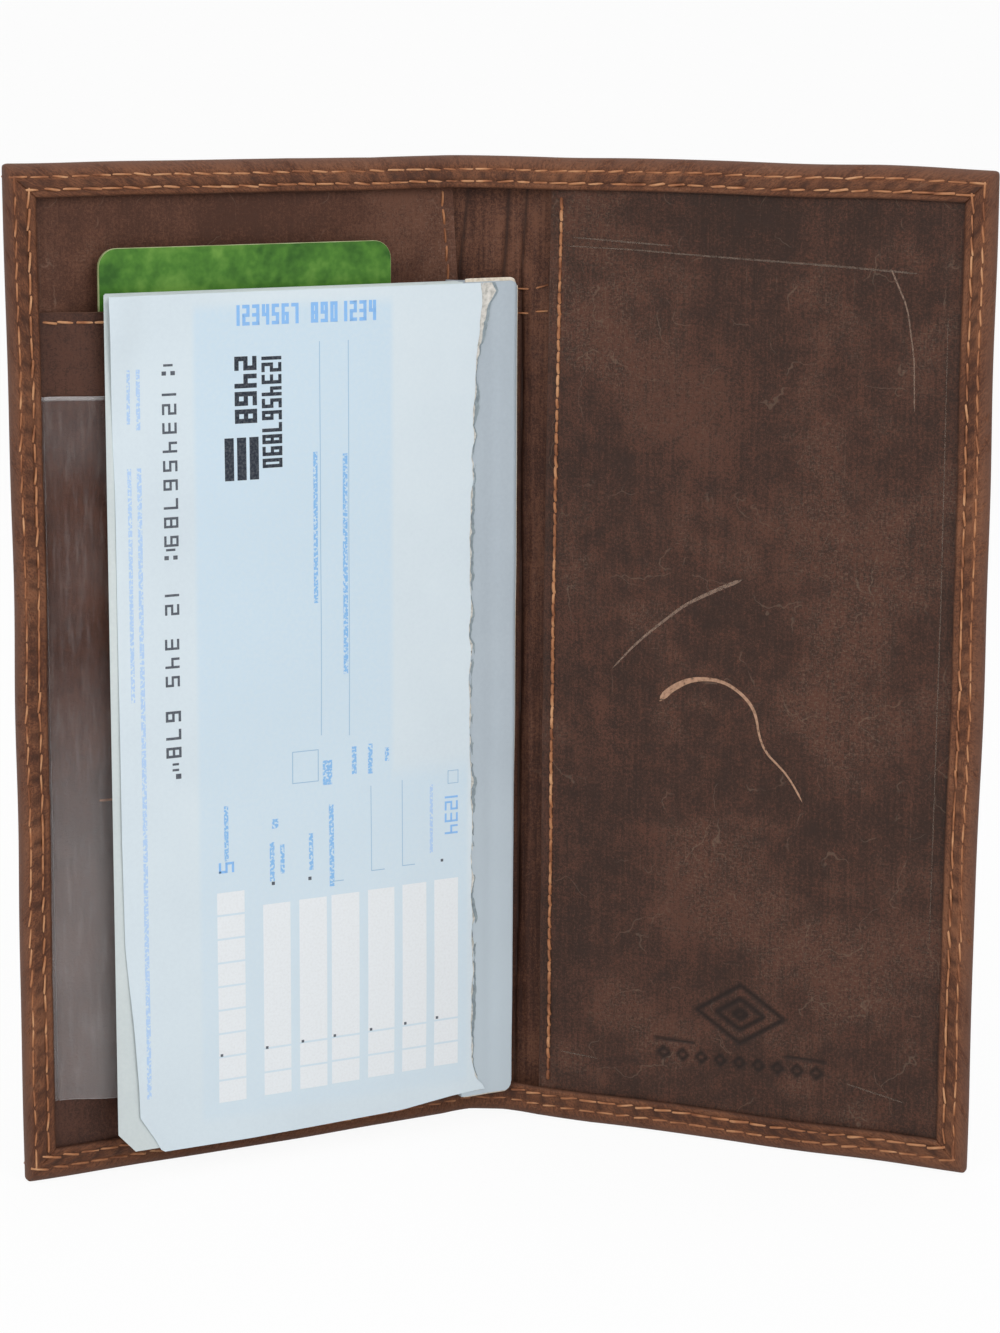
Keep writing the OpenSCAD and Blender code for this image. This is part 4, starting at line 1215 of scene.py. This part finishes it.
def ink(name, colour, bars, fine=None, over=0.015):
    """Lays bars of one ink on the front slip, following its face. Fine print is a bar whose ink is
    broken up into the tone of the paper."""
    made, tree, out = blank(name)
    worn = noise(tree, flat_place(tree), 2.0 if fine else 2.2, 3.0)
    thin = fine or tuple(0.85 * c + 0.08 for c in colour[:3]) + (1,)
    ends = (0.49, 0.62) if fine else (0.4, 0.8)
    coat(tree, out, colours(tree, worn, (ends[0], colour), (ends[1], thin)), 0.7, specular=0.3)
    fields = []
    for u0, z0, u1, z1 in bars:
        across = np.linspace(u0, u1, max(2, int((u1 - u0) / 4) + 2))
        up = np.linspace(z0, z1, max(2, int((z1 - z0) / 4) + 2))
        fields += slab(across, up, lambda u, z: slip_lift(u, z) + over, lambda u, z: slip_lift(u, z) - 0.03, rim=0.0)
    laid = sew(name, fields, upright, made)
    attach(laid, "front_slip")


# The columns of white cells: their two sides, and how many cells they have.
columns = [(45.6, 50.8, 9), (36.9, 42.1, 8), (29.9, 35.2, 8), (23.6, 29.0, 8), (16.7, 21.9, 8), (10.3, 15.1, 8),
           (3.9, 8.7, 8)]
cells, dots = [], []
for order, (u0, u1, count) in enumerate(columns):
    edges = np.linspace(49.0 if count == 9 else 45.8 + 0.12 * order, 10.6 + 0.12 * order, count + 1)
    seams = list(zip(edges, edges[1:]))
    if count == 8:
        seams = [(edges[0], edges[6])] + seams[6:]
    cells += [(u0, z1 + 0.18, u1, z0 - 0.18) for z0, z1 in seams]
    dots.append((u1 - 0.8, 19.2 + 0.2 * order, u1 - 0.3, 19.7 + 0.2 * order))
ink("print_cells", tone(231, 235, 238), cells, over=0.008)
dots += [(39.8, 49.1, 40.4, 49.7), (32.8, 49.2, 33.4, 49.8), (6.9, 49.6, 7.4, 50.1)]
ink("print_dark", tone(36, 44, 56),
    digit_bars("1234567890", (41.5, 142.8), 2.05, 1.6, 3.7, 0.6)
    + digit_bars("2468", (46.5, 142.0), 3.0, 2.4, 4.1, 0.8)
    + [(42.2 + 2.3 * k, 120.9, 43.9 + 2.3 * k, 128.2) for k in range(3)])
ink("print_grey", tone(80, 86, 96),
    digit_bars("123456789", (59.7, 137.8), 3.2, 1.85, 2.6, 0.42)
    + digit_bars("12", (59.7, 103.6), 3.2, 1.85, 2.6, 0.42) + digit_bars("345", (59.8, 94.4), 3.2, 1.85, 2.6, 0.42)
    + digit_bars("678", (59.9, 81.9), 3.15, 1.85, 2.8, 0.46)
    + [(57.7, 140.9, 59.4, 141.3), (57.3, 139.4, 58.1, 140.1), (58.9, 139.4, 59.7, 140.1),
       (57.7, 109.6, 59.4, 110.0), (57.3, 108.1, 58.1, 108.8), (58.9, 108.1, 59.7, 108.8),
       (57.6, 72.4, 58.8, 72.8), (57.6, 71.4, 58.8, 71.8), (57.2, 70.0, 58.2, 70.9)] + dots)
ink("print_blue", tone(138, 188, 240),
    digit_bars("1234567 8901234", (46.8, 147.2), 1.82, 1.36, 3.5, 0.6, turned=False)
    + digit_bars("1234", (6.6, 62.8), 2.2, 1.65, 2.6, 0.36) + digit_bars("5", (50.4, 54.2), 2.3, 1.9, 2.9, 0.44))
ink("print_fine", tone(138, 186, 232), [
    (25.5, 85.6, 26.4, 124.4), (31.2, 98.6, 32.0, 125), (39.8, 49.8, 40.7, 56.8), (37.9, 51, 38.7, 56.2),
    (32.4, 51, 33.2, 57.6), (28.4, 47.6, 29.3, 62.4), (48.5, 54.4, 49.3, 64.2), (23.9, 67.4, 24.8, 72.4),
    (20.8, 67.2, 21.7, 72.6), (17.6, 69.2, 18.4, 71.6), (28.6, 66, 30.4, 70.4), (39.0, 59.2, 40.2, 60.9)],
    fine=tone(204, 222, 235))
ink("print_pale", tone(176, 204, 238), [
    (63.6, 13.5, 64.4, 124), (63.6, 130.4, 64.3, 140.6), (65.4, 84, 66.1, 124), (65.4, 131.5, 66.0, 140.6),
    (9.0, 51.4, 9.6, 64)], fine=tone(212, 225, 233))
rules = [(30.6, 75, 30.72, 144), (25.2, 74.5, 25.32, 144), (21.1, 49.5, 21.22, 65), (18.6, 49.5, 21.2, 49.64),
         (15.0, 49.7, 15.12, 65.4), (12.6, 49.7, 15.1, 49.84), (26.6, 48.4, 28.8, 48.54),
         (3.9, 63.8, 4.02, 66.2), (5.9, 63.8, 6.02, 66.2), (3.9, 63.8, 6.0, 63.92), (3.9, 66.1, 6.0, 66.22),
         (31.2, 66.8, 31.34, 72.5), (36.1, 66.8, 36.24, 72.5), (31.2, 66.8, 36.2, 66.94), (31.2, 72.4, 36.2, 72.54)]
ink("print_rules", tone(150, 186, 214), rules)

stub_end, stub_low, stub_high, stub_front = -7.9, 5.0, 153.0, 9.22


def stub_edges(u, z):
    """Round corners at the bound end, which leans a little."""
    near = np.clip((-u - 6.4) / 1.5, 0, 1)
    pull = 1.5 * (1 - np.sqrt(np.clip(1 - near ** 2, 0, 1)))
    middle = (stub_low + stub_high) / 2
    z = middle + (z - middle) * (1 - pull / (stub_high - middle))
    return u + 0.6 * ease((100 - z) / 100) * np.clip((2 - u) / 10, 0, 1), z


def deeper_edges(u, z):
    """The cream layers end a little further in than the stub's face, and lean with it."""
    longer = 0.6 * ease((z - 140) / 12) - 0.25 * ease((14 - z) / 8)
    return stub_edges(u - 0.32 * np.clip((-u - 5) / 2, 0, 1), z + longer)


def stub_face(u, z):
    """The stub is clamped a little thinner, with a soft upright dent and a rounded outer edge."""
    dent = 0.12 * np.exp(-((u + 2.8) / 1.4) ** 2)
    return stub_front - dent - 0.5 * ease((-u - 6.9) / 1.1) ** 2 + 0.05 * ripple(u, z, 151, 20)


def stub_back(u, z):
    """Its back follows the backer down towards the pocket's open edge."""
    return np.maximum(1.15, np.minimum(6.2, 2.9 + 0.52 * (3 - u) + 0 * z) - 1.2 * ease((u - 1.5) / 1.5))


stub_up = graded((stub_low, 9, 0.6), (9, 149, 2.0), (149, stub_high, 0.6))
fields = slab(graded((stub_end, -5.5, 0.25), (-5.5, 3.0, 0.8)), stub_up, stub_face, stub_back, rim=0.1,
              edges=stub_edges)
stub = sew("pad_stub_paper", fields, upright, shaded_stub_paper)
layers = slab(graded((stub_end, -5.5, 0.25), (-5.5, 2.3, 0.8)), stub_up, lambda u, z: stub_face(u, z) - 0.45,
              lambda u, z: stub_face(u, z) - 0.75, rim=0.06, edges=deeper_edges)
cream = sew("pad_stub_layers", layers, upright, cream_edge)
# The front slip's own torn end, past its bend, stays on the stub.
fields = slab(np.linspace(0, slip_bend, 6), slip_up, slip_lift, slip_under, rim=0.0, edges=slip_edges)
torn_end = sew("front_slip_torn_end", fields, upright, slip_blue)
# The stub, its cream layers and the torn end are baked into place as they stand.
for part in (stub, cream, torn_end):
    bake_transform(part)
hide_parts("pad_stub")


def fringe_width(z):
    """How far the torn paper reaches over the stub."""
    wide = np.interp(z, [3.5, 4.8, 7, 10, 20, 138, 141, 146, 149, 151.4, 153],
                     [1.6, 1.2, 0.6, 0.4, 0.28, 0.25, 0.6, 0.7, 1.6, 2.6, 2.3])
    return wide + 0.12 * ripple(0 * z, z, 161, 3.2) + 0.06 * ripple(0 * z, z, 162, 1.3)


def fringe_edges(share, z):
    """From under the front slip to the ragged cream edge on the stub."""
    return torn(z) + 1.0 - share * (1.0 + np.maximum(fringe_width(z), 0.08)), z


def painted_shadow_edges(share, z):
    """A thin ragged line of painted shadow just past the torn paper: grey paper laid where the torn edge casts its
    shadow on the stub.
    """
    end = torn(z) - np.maximum(fringe_width(z), 0.08)
    return end + 0.4 - share * (0.95 + 0.2 * ripple(0 * z, z, 164, 9)), z


for name, edge, top_n, material in (("torn_paper_fringe", fringe_edges, 9.33, torn_cream),
                                    ("torn_paper_painted_shadow", painted_shadow_edges, 9.27, torn_edge_shadow_paper)):
    fields = slab(np.linspace(0, 1, 8), graded((5.7, 152.9, 0.5)),
                  lambda a, b: top_n + 0.03 * ripple(a * 4, b, 163, 4), top_n - 0.07, rim=0.0, edges=edge)
    fringe = sew(name, fields, upright, material)
    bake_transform(fringe)


# ---------------------------------------------------------------- Sizes
low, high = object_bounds()
